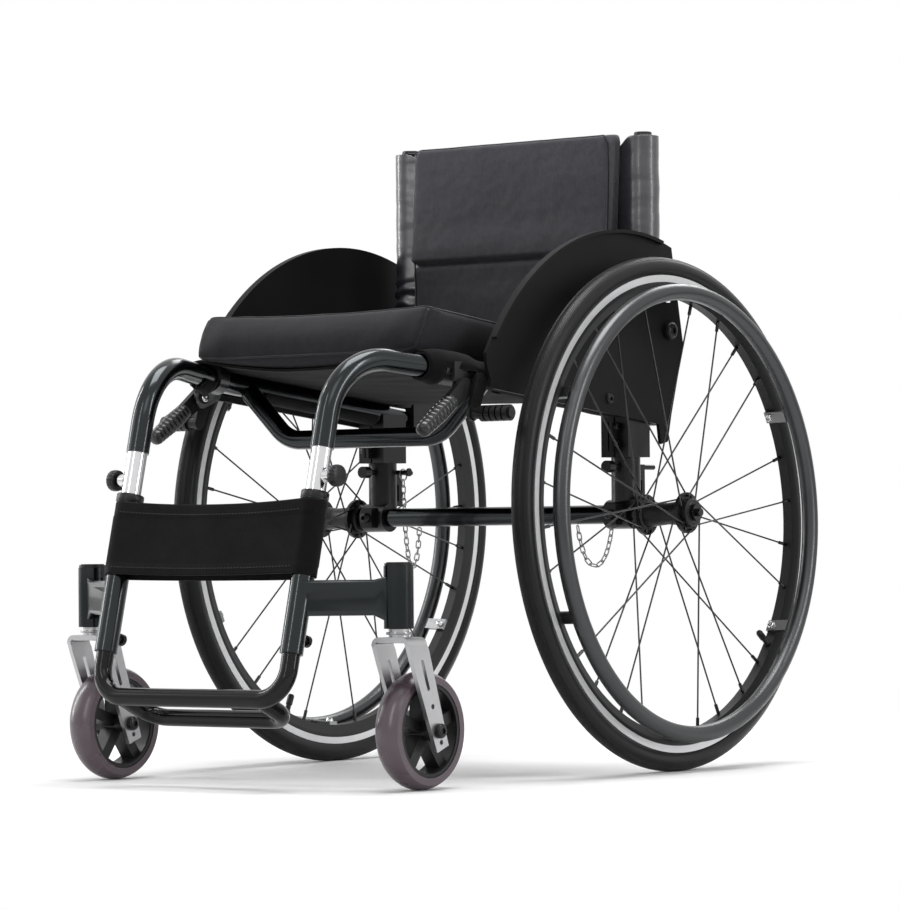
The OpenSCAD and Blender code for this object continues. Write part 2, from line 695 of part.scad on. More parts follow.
// Quick-release axles with the bore of their buttons
axle_out = 36;
axle_head_d = 19;
axle_head_l = 4;
button_in = 14;
button_out = 5;
module release_axles() {
  color("silver") both_sides() wheel_place() difference() {
    union() {
      bar_x(-axle_in, axle_out, 0, 0, axle_d);
      bar_x(axle_out, axle_out + axle_head_l, 0, 0, axle_head_d);
    }
    bar_x(axle_out + axle_head_l - button_in, axle_out + axle_head_l + 1, 0, 0, button_d + 2 * fit);
  }
}
module release_button(side) {
  button_l = button_in - 5 + button_out;
  end = axle_out + axle_head_l + button_out;
  color([0.75, 0.75, 0.77]) on_side(side) wheel_place() bar_x(end - button_l, end, 0, 0, button_d);
}

// Retaining chains: oval links that hang in a catenary from the column's pin to the camber tube
link_wire = 1.6;
link_l = 8;
chain_a = 7.75;
chain_low_z = hub_z - 59;
// A ring on the column's peg carries each chain's first link
ring_d = 14;
ring_wire = 1.8;
chain_x = column_x - column_d / 2 - 8;
chain_y = 20;
ring_z = pin_z - (ring_d - ring_wire - peg_d) / 2 + gap;
chain_from = [chain_x, chain_y, ring_z - ring_d / 2 - link_l / 2 + link_wire + ring_wire / 2 + gap];
chain_way = unit([-42, -22, 0]);
function acosh_of(v) = ln(v + sqrt(v * v - 1));
function asinh_of(v) = ln(v + sqrt(v * v + 1));
function cosh_of(v) = (exp(v) + exp(-v)) / 2;
function sinh_of(v) = (exp(v) - exp(-v)) / 2;
chain_run = chain_a * acosh_of((chain_from[2] - chain_low_z) / chain_a + 1);
chain_rise = hub_z - (camber_tube_d + link_l) / 2 - gap - chain_low_z;
chain_s0 = -chain_a * sinh_of(chain_run / chain_a);
chain_s1 = chain_a * sinh_of(acosh_of(chain_rise / chain_a + 1));
link_pitch = link_l - 2 * link_wire - gap;
function chain_at(s) = let (h = chain_a * asinh_of(s / chain_a))
  [chain_from[0], chain_from[1], chain_low_z - chain_a] + chain_way * (h + chain_run)
  + [0, 0, chain_a * cosh_of(h / chain_a)];
module chain_link(roll) {
  rotate([0, 0, roll]) rotate([90, 0, 0])
    rotate_extrude($fn = 24) translate([(link_l - link_wire) / 2, 0]) circle(d = link_wire, $fn = 16);
}
module chains() {
  count = ceil((chain_s1 - chain_s0) / link_pitch);
  step = (chain_s1 - chain_s0) / count;
  color("silver") both_sides() {
    translate([chain_x, chain_y, ring_z]) along_x()
      rotate_extrude() translate([ring_d / 2, 0]) circle(d = ring_wire, $fn = 16);
    for (i = [0 : count]) {
      s = chain_s0 + i * step;
      along(chain_at(s), chain_at(s + 0.5)) chain_link(90 + i % 2 * 90);
    }
  }
}

// Tyre: a round section whose beads sit in the rim's channel
edge_r = tyre_r - section_r - 8.5;
channel_d = 9;
rim_wall = 2;
module tyre(side) {
  bead = rim_w / 2 - rim_wall - gap;
  color([0.07, 0.07, 0.07]) on_side(side) wheel_place() along_x()
    rotate_extrude($fn = 200) union() {
      intersection() {
        translate([tyre_r - section_r, 0]) circle(section_r);
        translate([edge_r + gap, -section_r]) square([section_r * 2, section_r * 2]);
      }
      translate([edge_r - channel_d + gap, -bead]) square([channel_d + 4, 2 * bead]);
    }
}

// Rim: a deep section with a channel for the tyre
rim_in_r = edge_r - rim_depth;
module rim(side) {
  half = rim_w / 2;
  color([0.7, 0.71, 0.73]) on_side(side) wheel_place() along_x()
    rotate_extrude($fn = 200) polygon([
      [edge_r, -half], [edge_r - 12, -half], [rim_in_r, -half + 4], [rim_in_r, half - 4],
      [edge_r - 12, half], [edge_r, half], [edge_r, half - rim_wall], [edge_r - channel_d, half - rim_wall],
      [edge_r - channel_d, -half + rim_wall], [edge_r, -half + rim_wall]]);
}

// Hub: two drilled flanges on a waisted barrel
flange_t = 4;
barrel_d = 29;
boss_out_d = 33;
spoke_ring_r = flange_d / 2 - 4;
spoke_hole = spoke_d + 0.6;
flange_holes = 12;
hub_in = flange_in + 8;
hub_out = axle_out - gap;
module hub(side) {
  f = flange_t / 2;
  fr = flange_d / 2;
  br = barrel_d / 2;
  color([0.08, 0.08, 0.09]) on_side(side) wheel_place() difference() {
    along_x() rotate_extrude() polygon([
      [axle_d / 2 + fit, -hub_in], [boss_out_d / 2 - 2, -hub_in], [boss_out_d / 2, -hub_in + 2],
      [boss_out_d / 2, -flange_in - f], [fr, -flange_in - f], [fr, -flange_in + f],
      [br + 2, -flange_in + f], [br, -flange_in + f + 2], [br - 2, 0],
      [br, flange_out - f - 2], [br + 2, flange_out - f],
      [fr, flange_out - f], [fr, flange_out + f], [boss_out_d / 2, flange_out + f],
      [boss_out_d / 2, hub_out - 2], [boss_out_d / 2 - 2, hub_out], [axle_d / 2 + fit, hub_out]]);
    for (x = [-flange_in, flange_out], i = [0 : flange_holes - 1])
      rotate([group_turn + ((x > 0 ? 0 : 1) - 1.5) * spoke_step + lace + i * 360 / flange_holes, 0, 0])
        bar_x(x - flange_t, x + flange_t, spoke_ring_r, 0, spoke_hole);
  }
}

// Spokes: six groups of four, laced across each other, with their nipples
spoke_groups = 6;
group_turn = -2.4;
spoke_step = 12;
lace = 57;
nipple_d = 4;
nipple_l = 12;
function polar(r, a) = [0, r * cos(a), r * sin(a)];
module spoke(j, centre) {
  rim_a = centre + (j - 1.5) * spoke_step;
  outer = 1 - j % 2;
  ahead = j < 2 ? 1 : -1;
  flange_x = outer == 1 ? flange_out : -flange_in;
  stand = flange_x * ahead > 0 ? 1.9 : gap;
  face = flange_x + ahead * (flange_t / 2 + spoke_d / 2 + stand);
  elbow = polar(spoke_ring_r, rim_a + ahead * lace) + [face, 0, 0];
  end = polar(rim_in_r - 0.6, rim_a) + [outer == 1 ? 2 : -2, 0, 0];
  head = flange_x - ahead * (flange_t / 2 + gap);
  pin_d = spoke_d * 1.15;
  rod(elbow, end, spoke_d);
  rod(elbow + [ahead * pin_d / 2, 0, 0], [head, elbow[1], elbow[2]], pin_d);
  bar_x(min(head, head - ahead), max(head, head - ahead), elbow[1], elbow[2], spoke_d * 1.8);
  rod(end - unit(end - elbow) * nipple_l, end, nipple_d);
}
module spokes(side) {
  color([0.12, 0.12, 0.12]) on_side(side) wheel_place()
    for (g = [0 : spoke_groups - 1], j = [0 : 3])
      spoke(j, group_turn + g * 360 / spoke_groups);
}

// Hand rim: a round tube carried by six tabs on the rim's side
tabs = 6;
tab_w = 14;
tab_t = 4;
tab_in = 6;
module handrim(side) {
  ring_r = handrim_d / 2;
  tab_r = rim_in_r - gap;
  color([0.25, 0.26, 0.27]) on_side(side) wheel_place() {
    translate([handrim_out, 0, 0]) along_x() rotate_extrude($fn = 200)
      translate([ring_r, 0]) circle(d = handrim_tube);
    for (i = [0 : tabs - 1]) rotate([group_turn + 30 + i * 360 / tabs, 0, 0])
      translate([0, 0, -tab_w / 2]) linear_extrude(tab_w) polygon([
        [-tab_in, tab_r - tab_t], [-tab_in, tab_r], [handrim_out, tab_r], [handrim_out, tab_r - tab_t]]);
  }
}

// Front leg: a sleeve round the post, a box arm and the caster's swivel housing
collar_h = 8;
collar_d = tube_d + 4;
stem_d = 12;
arm_h = 38;
arm_w = 20;
arm_z = 206;
sleeve_top = leg_at(sleeve_top_z);
sleeve_low = leg_at(sleeve_low_z);
foot_in = 60;
inner_stem_d = post_bore - 4 * fit;
module front_leg(side) {
  bore_end = post_low + leg_dir * 5;
  foot_bore = sleeve_low - leg_dir * (foot_in + 22);
  arm_from = leg_at(arm_z);
  arm_to = [caster_x, -caster_reach, arm_z];
  way = arm_to - arm_from;
  color([0.15, 0.16, 0.18]) on_side(side) difference() {
    union() {
      difference() {
        union() {
          rod(sleeve_top, sleeve_low, tube_d);
          rod(sleeve_top, sleeve_top + leg_dir * collar_h, collar_d);
        }
        rod(sleeve_top - leg_dir, bore_end, post_d + 2 * fit);
      }
      rod(bore_end + leg_dir, sleeve_top - leg_dir * 60, inner_stem_d);
      translate([caster_x, -caster_reach, housing_z]) cylinder(d = housing_d, h = housing_h);
      translate(arm_from) rotate([0, 0, atan2(way[1], way[0])]) rotate([90, 0, 0])
        translate([0, 0, -arm_w / 2]) linear_extrude(arm_w) polygon([
          [4, -arm_h / 2], [norm(way) - 26, -arm_h / 2], [norm(way), housing_z - arm_z + 2],
          [norm(way), housing_z + housing_h - arm_z - 8], [norm(way) - 26, arm_h / 2], [4, arm_h / 2]]);
    }
    rod(sleeve_low + leg_dir, foot_bore, foot_d + 2 * fit);
    translate([caster_x, -caster_reach, housing_z - 1]) cylinder(d = stem_d + 2 * fit, h = housing_h + 2);
  }
}

// Dust caps of the swivel housings
cap_h = 4;
module housing_caps() {
  color([0.06, 0.06, 0.07]) both_sides()
    translate([caster_x, -caster_reach, housing_z + housing_h]) {
      cylinder(d = housing_d - 2, h = cap_h - 1);
      cylinder(d = housing_d - 6, h = cap_h);
    }
}

// Set screws that hold the footrest in the sleeves
screw_up = 18;
module set_screws() {
  at = leg_at(sleeve_low_z + screw_up);
  color([0.1, 0.1, 0.1]) both_sides() along(at, at + [0, cos(leg_lean), -sin(leg_lean)])
    translate([0, 0, tube_r]) {
      cylinder(d = 9, h = 6);
      translate([0, 0, 6]) cylinder(d = 13, h = 5);
    }
}

// Calf strap: a band looped round both sleeves
strap_t = 2.4;
strap_low_z = 229.5;
strap_low = leg_at(strap_low_z);
module calf_strap() {
  r = tube_r + soft_gap;
  color([0.08, 0.08, 0.08]) at_axle()
    multmatrix(columns([1, 0, 0], [0, cos(leg_lean), -sin(leg_lean)], -leg_dir, [0, strap_low[1], strap_low[2]]))
      linear_extrude(strap_h) difference() {
        link_outline([-leg_x, 0], [leg_x, 0], r + strap_t, r + strap_t);
        link_outline([-leg_x, 0], [leg_x, 0], r, r);
      }
}

// Footrest: a bent loop in the two sleeves, with a second bar low behind it
foot_r = 34;
rear_half = 98;
rear_r = 24;
module footrest() {
  inside = sleeve_low - leg_dir * foot_in;
  color([0.08, 0.08, 0.09]) at_axle() {
    bent_bar([[-leg_x, inside[1], inside[2]], [-leg_x, foot_front[1], foot_front[2]], foot_front, inside],
             [foot_r, foot_r], foot_d);
    bent_bar([for (q = [[-1, 0], [-1, 1], [1, 1], [1, 0]])
      [q[0] * rear_half, foot_front[1] + q[1] * foot_depth, foot_z + q[1] * (foot_rear_z - foot_z)]],
      [rear_r, rear_r], foot_d - 1);
  }
}

// Pull knob with its plunger
module lock_knob(side) {
  nose_x = leg_x + inner_stem_d / 2 + gap;
  neck_x = boss_x + gap;
  color([0.07, 0.07, 0.07]) on_side(side) {
    bar_x(nose_x, neck_x + 2, knob_at[1], knob_at[2], plunger_d);
    bar_x(neck_x, neck_x + 3, knob_at[1], knob_at[2], 11);
    bar_x(neck_x + 3, neck_x + 12, knob_at[1], knob_at[2], knob_d);
  }
}

// Caster fork: a flat bar bent over a stem, its slotted and drilled legs leaning back to the axle
plate_h = 6;
plate_top = housing_z - 9;
plate_w = 32;
fork_bend = 9;
leg_top_w = 31;
leg_foot_w = 21;
foot_past = 21;
slot_w = 5;
caster_r = caster_d / 2;
caster_pin_d = 10;
fork_at = [-caster_reach, plate_top - plate_h];
caster_at = [-caster_reach + caster_trail, caster_r];
fork_dir = unit(caster_at - fork_at);
fork_run = norm(caster_at - fork_at);
function down_fork(s) = fork_at + fork_dir * s;
module fork_leg() {
  side_dir = [fork_dir[1], -fork_dir[0]];
  top = fork_at + [0, plate_h - fork_bend];
  foot = down_fork(fork_run + foot_past);
  difference() {
    polygon([[top[0] - plate_w / 2, top[1] + 1], [top[0] + plate_w / 2, top[1] + 1],
             down_fork(14) - side_dir * leg_top_w / 2, foot - side_dir * leg_foot_w / 2,
             foot + side_dir * leg_foot_w / 2, down_fork(14) + side_dir * leg_top_w / 2]);
    link_outline(down_fork(22), down_fork(52), slot_w / 2, slot_w / 2 - 0.1);
    translate(down_fork(fork_run - 28)) circle(d = 5.5);
    translate(down_fork(fork_run + 13)) circle(d = 5.5);
  }
}
module fork(side) {
  half = fork_w / 2;
  color([0.75, 0.76, 0.78]) on_side(side) translate([caster_x, 0, 0]) difference() {
    union() {
      translate([0, -caster_reach, plate_top - 1]) cylinder(d = stem_d, h = housing_z + housing_h - 1 - plate_top);
      translate([0, -caster_reach, plate_top - 1]) cylinder(d = 22, h = housing_z - plate_top + 1 - gap);
      translate([-half + fork_bend, -caster_reach - plate_w / 2, plate_top - plate_h])
        cube([fork_w - 2 * fork_bend, plate_w, plate_h]);
      for (s = [0, 1]) mirror([s, 0, 0]) {
        translate([half - fork_bend, -caster_reach - plate_w / 2, plate_top - fork_bend]) intersection() {
          rotate([-90, 0, 0]) difference() {
            cylinder(r = fork_bend, h = plate_w);
            translate([0, 0, -1]) cylinder(r = fork_bend - fork_t, h = plate_w + 2);
          }
          translate([-0.5, 0, -0.5]) cube([fork_bend + 1, plate_w, fork_bend + 1]);
        }
        plate_x(half - fork_t, half) fork_leg();
      }
    }
    bar_x(-fork_w, fork_w, caster_at[0], caster_at[1], caster_pin_d + 2 * fit);
  }
}

// Caster axle bolt with its two heads
module caster_axle(side) {
  head_l = 4;
  color("silver") on_side(side) translate([caster_x, 0, 0]) {
    bar_x(-fork_w / 2 - head_l, fork_w / 2 + head_l, caster_at[0], caster_at[1], caster_pin_d);
    for (x = [-fork_w / 2 - head_l, fork_w / 2]) bar_x(x, x + head_l, caster_at[0], caster_at[1], 16);
  }
}

// Caster hub: a boss and a rim joined by curved arms
hub_rim_r = caster_r - 13;
hub_arms = 5;
hub_arm_w = 13;
module caster_hub(side) {
  w = caster_w - 4;
  boss_w = fork_w - 2 * fork_t - 2 * gap;
  color([0.08, 0.08, 0.09]) on_side(side) translate([caster_x, caster_at[0], caster_at[1]]) difference() {
    union() {
      bar_x(-boss_w / 2, boss_w / 2, 0, 0, 24);
      difference() {
        bar_x(-w / 2, w / 2, 0, 0, 2 * hub_rim_r);
        bar_x(-w, w, 0, 0, 2 * hub_rim_r - 10);
      }
      for (i = [0 : hub_arms - 1]) rotate([i * 360 / hub_arms, 0, 0])
        translate([-w / 2 + 4, -hub_arm_w / 2, 8]) cube([w - 8, hub_arm_w, hub_rim_r - 11]);
    }
    bar_x(-boss_w, boss_w, 0, 0, caster_pin_d + 2 * fit);
  }
}
module caster_tyre(side) {
  color([0.5, 0.45, 0.47]) on_side(side) translate([caster_x, caster_at[0], caster_at[1]]) along_x()
    rotate_extrude($fn = 96) difference() {
      union() {
        translate([hub_rim_r, -caster_w / 2]) square([caster_r - hub_rim_r - 9, caster_w]);
        intersection() {
          translate([caster_r - 24, 0]) circle(24);
          translate([hub_rim_r, -caster_w / 2]) square([caster_r, caster_w]);
        }
      }
      translate([0, -caster_w]) square([hub_rim_r, 2 * caster_w]);
    }
}

side_frame(1);  // side_frame_left
side_frame(-1);  // side_frame_right
leg_posts();
cross_brace();
seat_sling();
seat_cushion();
back_bracket(1);  // back_bracket_left
back_bracket(-1);  // back_bracket_right
back_pivot_bolts();
side_guard(1);  // side_guard_left
side_guard(-1);  // side_guard_right
brake_clamp(1);  // brake_clamp_left
brake_clamp(-1);  // brake_clamp_right
brake_pins();
column_bracket(1);  // column_bracket_left
column_bracket(-1);  // column_bracket_right
cane(1);  // cane_left
cane(-1);  // cane_right
cane_plugs();
back_cross_bar();
back_sling();
back_pad();
camber_tube();
axle_column(1);  // axle_column_left
axle_column(-1);  // axle_column_right
column_pins();
release_axles();
release_button(1);  // release_button_left
release_button(-1);  // release_button_right
chains();
tyre(1);  // tyre_left
tyre(-1);  // tyre_right
rim(1);  // rim_left
rim(-1);  // rim_right
hub(1);  // hub_left
hub(-1);  // hub_right
spokes(1);  // spokes_left
spokes(-1);  // spokes_right
handrim(1);  // handrim_left
handrim(-1);  // handrim_right
front_leg(1);  // front_leg_left
front_leg(-1);  // front_leg_right
housing_caps();
set_screws();
calf_strap();
footrest();
lock_knob(1);  // lock_knob_left
lock_knob(-1);  // lock_knob_right
fork(1);  // fork_left
fork(-1);  // fork_right
caster_axle(1);  // caster_axle_left
caster_axle(-1);  // caster_axle_right
caster_hub(1);  // caster_hub_left
caster_hub(-1);  // caster_hub_right
caster_tyre(1);  // caster_tyre_left
caster_tyre(-1);  // caster_tyre_right
brake_lever(1);  // brake_lever_left
brake_lever(-1);  // brake_lever_right
brake_shoe(1);  // brake_shoe_left
brake_shoe(-1);  // brake_shoe_right
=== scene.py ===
"""Finish, upholstery and studio for a rigid sports wheelchair, laid out as an add-on."""

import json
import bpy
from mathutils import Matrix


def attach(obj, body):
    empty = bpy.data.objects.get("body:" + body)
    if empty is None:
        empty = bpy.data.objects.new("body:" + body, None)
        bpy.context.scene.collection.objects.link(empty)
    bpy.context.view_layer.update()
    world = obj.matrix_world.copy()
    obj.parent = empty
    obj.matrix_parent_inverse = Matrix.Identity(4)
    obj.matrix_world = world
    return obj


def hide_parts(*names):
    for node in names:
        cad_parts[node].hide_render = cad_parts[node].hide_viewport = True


bl_info = {
    "name": "Sports Wheelchair Finish",
    "version": (1, 0, 0),
    "blender": (4, 5, 0),
    "location": "View3D > Sidebar > Wheelchair",
    "description": "Finishes, upholstery, small hardware and a studio for a rigid sports wheelchair",
    "category": "Object",
}

from math import acos, acosh, asinh, atan2, cos, cosh, exp, pi, radians, sin, sinh, tau

import bmesh
import bpy
from mathutils import Matrix, Vector, noise
from mathutils.bvhtree import BVHTree

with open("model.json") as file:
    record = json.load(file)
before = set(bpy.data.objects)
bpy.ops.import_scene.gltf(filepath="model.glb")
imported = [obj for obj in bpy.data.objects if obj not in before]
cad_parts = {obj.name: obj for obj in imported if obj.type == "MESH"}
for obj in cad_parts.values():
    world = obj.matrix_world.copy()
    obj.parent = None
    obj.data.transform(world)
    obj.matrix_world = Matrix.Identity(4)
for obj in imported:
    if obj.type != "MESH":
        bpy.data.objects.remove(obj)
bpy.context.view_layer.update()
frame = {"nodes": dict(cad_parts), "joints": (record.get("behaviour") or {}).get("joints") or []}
NODES = frame["nodes"]
JOINTS = {j["name"]: j for j in frame["joints"]}
SIDES = {"left": 1, "right": -1}
AXLE = Vector(JOINTS["left_wheel_spin"]["pos_m"])
AXLE_Y = AXLE.y


# Sizes and colours that a user would change


def colour_property(name, description, default):
    return bpy.props.FloatVectorProperty(name=name, description=description, subtype="COLOR", default=default)


class WheelchairColours(bpy.types.PropertyGroup):
    """Colours of the chair's finishes"""

    frame_paint: colour_property("Frame Paint", "Gunmetal paint of the tubes", (0.025, 0.0285, 0.0300))
    hand_rim: colour_property("Hand Rim", "Anodised hand rims", (0.066, 0.068, 0.070))
    black_paint: colour_property("Black Paint", "Satin black fittings", (0.0060, 0.0060, 0.0066))
    steel: colour_property("Polished Steel", "Posts, chains and pins", (0.66, 0.66, 0.67))
    alloy: colour_property("Fork Alloy", "Satin alloy of the forks", (0.54, 0.54, 0.55))
    plastic: colour_property("Plastic", "Moulded black plastic", (0.0060, 0.0060, 0.0066))
    guard: colour_property("Guard", "Matt black side guards", (0.0046, 0.0043, 0.0050))
    tyre: colour_property("Tyre", "Rear tyre rubber", (0.0070, 0.0069, 0.0074))
    caster: colour_property("Caster", "Mauve grey caster rubber", (0.078, 0.054, 0.068))
    seat: colour_property("Seat Fabric", "Charcoal cover of cushion and back", (0.0150, 0.0146, 0.0172))
    sling: colour_property("Sling Fabric", "Black canvas of sling and strap", (0.0030, 0.0028, 0.0033))
    vinyl: colour_property("Vinyl", "Shiny sleeves round the canes", (0.0240, 0.0225, 0.0300))
    floor: colour_property("Floor", "Pale studio floor", (0.92, 0.92, 0.92))


class WheelchairSizes(bpy.types.PropertyGroup):
    """Camera of the studio, as fitted to the photograph"""

    lens: bpy.props.FloatProperty(
        name="Lens", description="Focal length of the camera", default=161.72, unit="CAMERA")
    camera_reach: bpy.props.FloatVectorProperty(
        name="Camera", description="Camera place, measured from the floor under the rear axle", subtype="XYZ",
        unit="LENGTH", default=(2.89579, -3.88361, 0.25821))
    camera_turn: bpy.props.FloatProperty(
        name="Camera Turn", description="Turn of the view about the upright axis", subtype="ANGLE",
        default=radians(37.374))
    camera_pitch: bpy.props.FloatProperty(
        name="Camera Pitch", description="How far the camera looks up", subtype="ANGLE",
        default=radians(1.298))
    camera_roll: bpy.props.FloatProperty(
        name="Camera Roll", description="Roll of the camera", subtype="ANGLE", default=radians(-0.5288))


def sizes():
    return bpy.context.scene.wheelchair_sizes


def colours():
    return bpy.context.scene.wheelchair_colours


# Shader groups shared by several finishes


def new_group(name, inputs, outputs):
    """An empty shader group with float inputs and named outputs"""
    tree = bpy.data.node_groups.new(name, "ShaderNodeTree")
    for label, value in inputs:
        socket = tree.interface.new_socket(label, in_out="INPUT", socket_type="NodeSocketFloat")
        socket.default_value = value
    for label in outputs:
        tree.interface.new_socket(label, in_out="OUTPUT", socket_type="NodeSocketFloat")
    return tree, tree.nodes.new("NodeGroupInput"), tree.nodes.new("NodeGroupOutput")


def feed(tree, value, socket):
    """Links an output to a socket, or sets the socket's plain value"""
    if isinstance(value, bpy.types.NodeSocket):
        tree.links.new(value, socket)
    else:
        socket.default_value = value


def operate(tree, kind, operation, values):
    """A node that works on one or two values, each plain or linked"""
    node = tree.nodes.new(kind)
    node.operation = operation
    for value, socket in zip(values, node.inputs):
        feed(tree, value, socket)
    return node.outputs


def math_node(tree, operation, *values):
    return operate(tree, "ShaderNodeMath", operation, values)[0]


def vector_node(tree, operation, *values):
    return operate(tree, "ShaderNodeVectorMath", operation, values)


def noise_node(tree, vector, scale, detail=4.0, roughness=0.55):
    node = tree.nodes.new("ShaderNodeTexNoise")
    for label, value in (("Vector", vector), ("Scale", scale), ("Detail", detail), ("Roughness", roughness)):
        feed(tree, value, node.inputs[label])
    return node.outputs["Fac"]


def object_place(tree):
    return tree.nodes.new("ShaderNodeTexCoord").outputs["Object"]


def split_axes(tree, vector):
    node = tree.nodes.new("ShaderNodeSeparateXYZ")
    tree.links.new(vector, node.inputs[0])
    return node.outputs


def grain_group():
    """Fine surface grain with slow tone drift, from object space"""
    inputs = [("Scale", 900.0), ("Drift Scale", 9.0)]
    tree, entry, leave = new_group("Surface Grain", inputs, ["Height", "Drift"])
    place = object_place(tree)
    tree.links.new(noise_node(tree, place, entry.outputs["Scale"], 5.0), leave.inputs["Height"])
    tree.links.new(noise_node(tree, place, entry.outputs["Drift Scale"], 3.0), leave.inputs["Drift"])
    return tree


def weave_group():
    """Plain weave of warp and weft threads, from object space"""
    inputs = [("Threads", 700.0), ("Slub Scale", 160.0)]
    relief = 0.25
    tone_scale = 24.0
    tree, entry, leave = new_group("Plain Weave", inputs, ["Height", "Tone"])
    place = object_place(tree)
    axes = split_axes(tree, place)
    runs = []
    for axis in ("X", "Y", "Z"):
        turn = math_node(tree, "MULTIPLY", axes[axis], entry.outputs["Threads"])
        runs.append(math_node(tree, "SINE", math_node(tree, "MULTIPLY", turn, tau)))
    cross = math_node(tree, "MULTIPLY", runs[0], math_node(tree, "ADD", runs[1], runs[2]))
    slub = noise_node(tree, place, entry.outputs["Slub Scale"], 3.0)
    height = math_node(tree, "ADD", math_node(tree, "MULTIPLY", cross, relief), slub)
    tree.links.new(height, leave.inputs["Height"])
    tree.links.new(noise_node(tree, place, tone_scale, 6.0, 0.65), leave.inputs["Tone"])
    return tree


def scuff_group():
    """Sparse rubbed specks and streaks, as a mask"""
    contrast = 6.0
    tree, entry, leave = new_group("Scuffs", [("Scale", 60.0), ("Amount", 0.62)], ["Mask"])
    cloud = noise_node(tree, object_place(tree), entry.outputs["Scale"], 8.0, 0.7)
    over = math_node(tree, "SUBTRACT", cloud, entry.outputs["Amount"])
    mask = math_node(tree, "MULTIPLY", math_node(tree, "MAXIMUM", over, 0.0), contrast)
    tree.links.new(mask, leave.inputs["Mask"])
    return tree


GROUP_MAKERS = {"Surface Grain": grain_group, "Plain Weave": weave_group, "Scuffs": scuff_group}


def place_group(tree, name, **values):
    node = tree.nodes.new("ShaderNodeGroup")
    node.node_tree = bpy.data.node_groups.get(name) or GROUP_MAKERS[name]()
    for label, value in values.items():
        node.inputs[label.replace("_", " ")].default_value = value
    return node


# Materials


def shade(colour, factor):
    return tuple(min(c * factor, 1.0) for c in colour)


def mix_colour(tree, factor, first, second):
    node = tree.nodes.new("ShaderNodeMix")
    node.data_type = "RGBA"
    tree.links.new(factor, node.inputs["Factor"])
    for label, value in (("A", first), ("B", second)):
        feed(tree, value if isinstance(value, bpy.types.NodeSocket) else (*value, 1.0), node.inputs[label])
    return node.outputs["Result"]


def map_range(tree, value, low, high, source=(0.3, 0.7)):
    node = tree.nodes.new("ShaderNodeMapRange")
    tree.links.new(value, node.inputs["Value"])
    node.inputs["From Min"].default_value, node.inputs["From Max"].default_value = source
    node.inputs["To Min"].default_value = low
    node.inputs["To Max"].default_value = high
    return node.outputs["Result"]


def add_bump(tree, shader, height, strength, distance):
    bump = tree.nodes.new("ShaderNodeBump")
    bump.inputs["Strength"].default_value = strength
    bump.inputs["Distance"].default_value = distance
    tree.links.new(height, bump.inputs["Height"])
    tree.links.new(bump.outputs["Normal"], shader.inputs["Normal"])


def new_material(name, **plain):
    """A material whose Principled shader has the given plain socket values"""
    material = bpy.data.materials.new(name)
    material.use_nodes = True
    tree = material.node_tree
    shader = tree.nodes["Principled BSDF"]
    for label, value in plain.items():
        shader.inputs[label.replace("_", " ")].default_value = value
    return material, tree, shader


RUBBED = 1.5
CLOTH_TONES = (0.72, 1.32)
# Lightening of the raised thread crowns in cloth: a painted highlight
CLOTH_LIT = 1.9
CLOTH_SPREAD = 0.08
TWO_TONES = (0.88, 1.14)


def hard_finish(name, colour, metallic, roughness, grain=900.0, bump=0.06, depth=0.0002, spread=0.07,
                tone=0.18, **plain):
    """Paint, plastic, rubber or metal: toned, slightly uneven in gloss, with fine grain"""
    material, tree, shader = new_material(name, Metallic=metallic, **plain)
    group = place_group(tree, "Surface Grain", Scale=grain)
    scuff = place_group(tree, "Scuffs")
    base = mix_colour(tree, group.outputs["Drift"], shade(colour, 1.0 - tone), shade(colour, 1.0 + tone))
    rubbed = mix_colour(tree, scuff.outputs["Mask"], base, shade(colour, RUBBED))
    tree.links.new(rubbed, shader.inputs["Base Color"])
    tree.links.new(map_range(tree, group.outputs["Drift"], roughness - spread, roughness + spread),
                   shader.inputs["Roughness"])
    add_bump(tree, shader, group.outputs["Height"], bump, depth)
    return material


def cloth_finish(name, colour, threads, roughness, bump=0.5, depth=0.0004, sheen=0.2, gloss=0.2):
    """Woven cloth with thread relief, slubs, slow tone change and a painted highlight on the crowns of the
    threads
    """
    material, tree, shader = new_material(name, Sheen_Weight=sheen, Sheen_Roughness=0.5,
                                          Specular_IOR_Level=gloss)
    group = place_group(tree, "Plain Weave", Threads=threads)
    base = mix_colour(tree, group.outputs["Tone"], *(shade(colour, tone) for tone in CLOTH_TONES))
    # Painted highlight: the raised crowns of the threads are lightened towards the CLOTH_LIT tone
    crown = map_range(tree, group.outputs["Height"], 0.0, 0.5, (0.2, 0.9))
    tree.links.new(mix_colour(tree, crown, base, shade(colour, CLOTH_LIT)), shader.inputs["Base Color"])
    tree.links.new(map_range(tree, group.outputs["Tone"], roughness - CLOTH_SPREAD, roughness + CLOTH_SPREAD),
                   shader.inputs["Roughness"])
    add_bump(tree, shader, group.outputs["Height"], bump, depth)
    return material


def radius_mask(tree, side, edge):
    """1 outside a radius about a rear wheel's own axis, 0 inside it"""
    hub = JOINTS[side + "_wheel_spin"]
    away = vector_node(tree, "SUBTRACT", object_place(tree), hub["pos_m"])[0]
    across = vector_node(tree, "CROSS_PRODUCT", away, hub["axis"])[0]
    return math_node(tree, "GREATER_THAN", vector_node(tree, "LENGTH", across)["Value"], edge)


def axial_mask(tree, side, edge):
    """1 where a point lies nearer the chair's middle than a distance out along a rear wheel's axle"""
    hub = JOINTS[side + "_wheel_spin"]
    out = Vector(hub["axis"]) * (1.0 if hub["axis"][0] * SIDES[side] > 0 else -1.0)
    along = vector_node(tree, "DOT_PRODUCT", object_place(tree), out)["Value"]
    return math_node(tree, "LESS_THAN", along, out.dot(Vector(hub["pos_m"])) + edge)


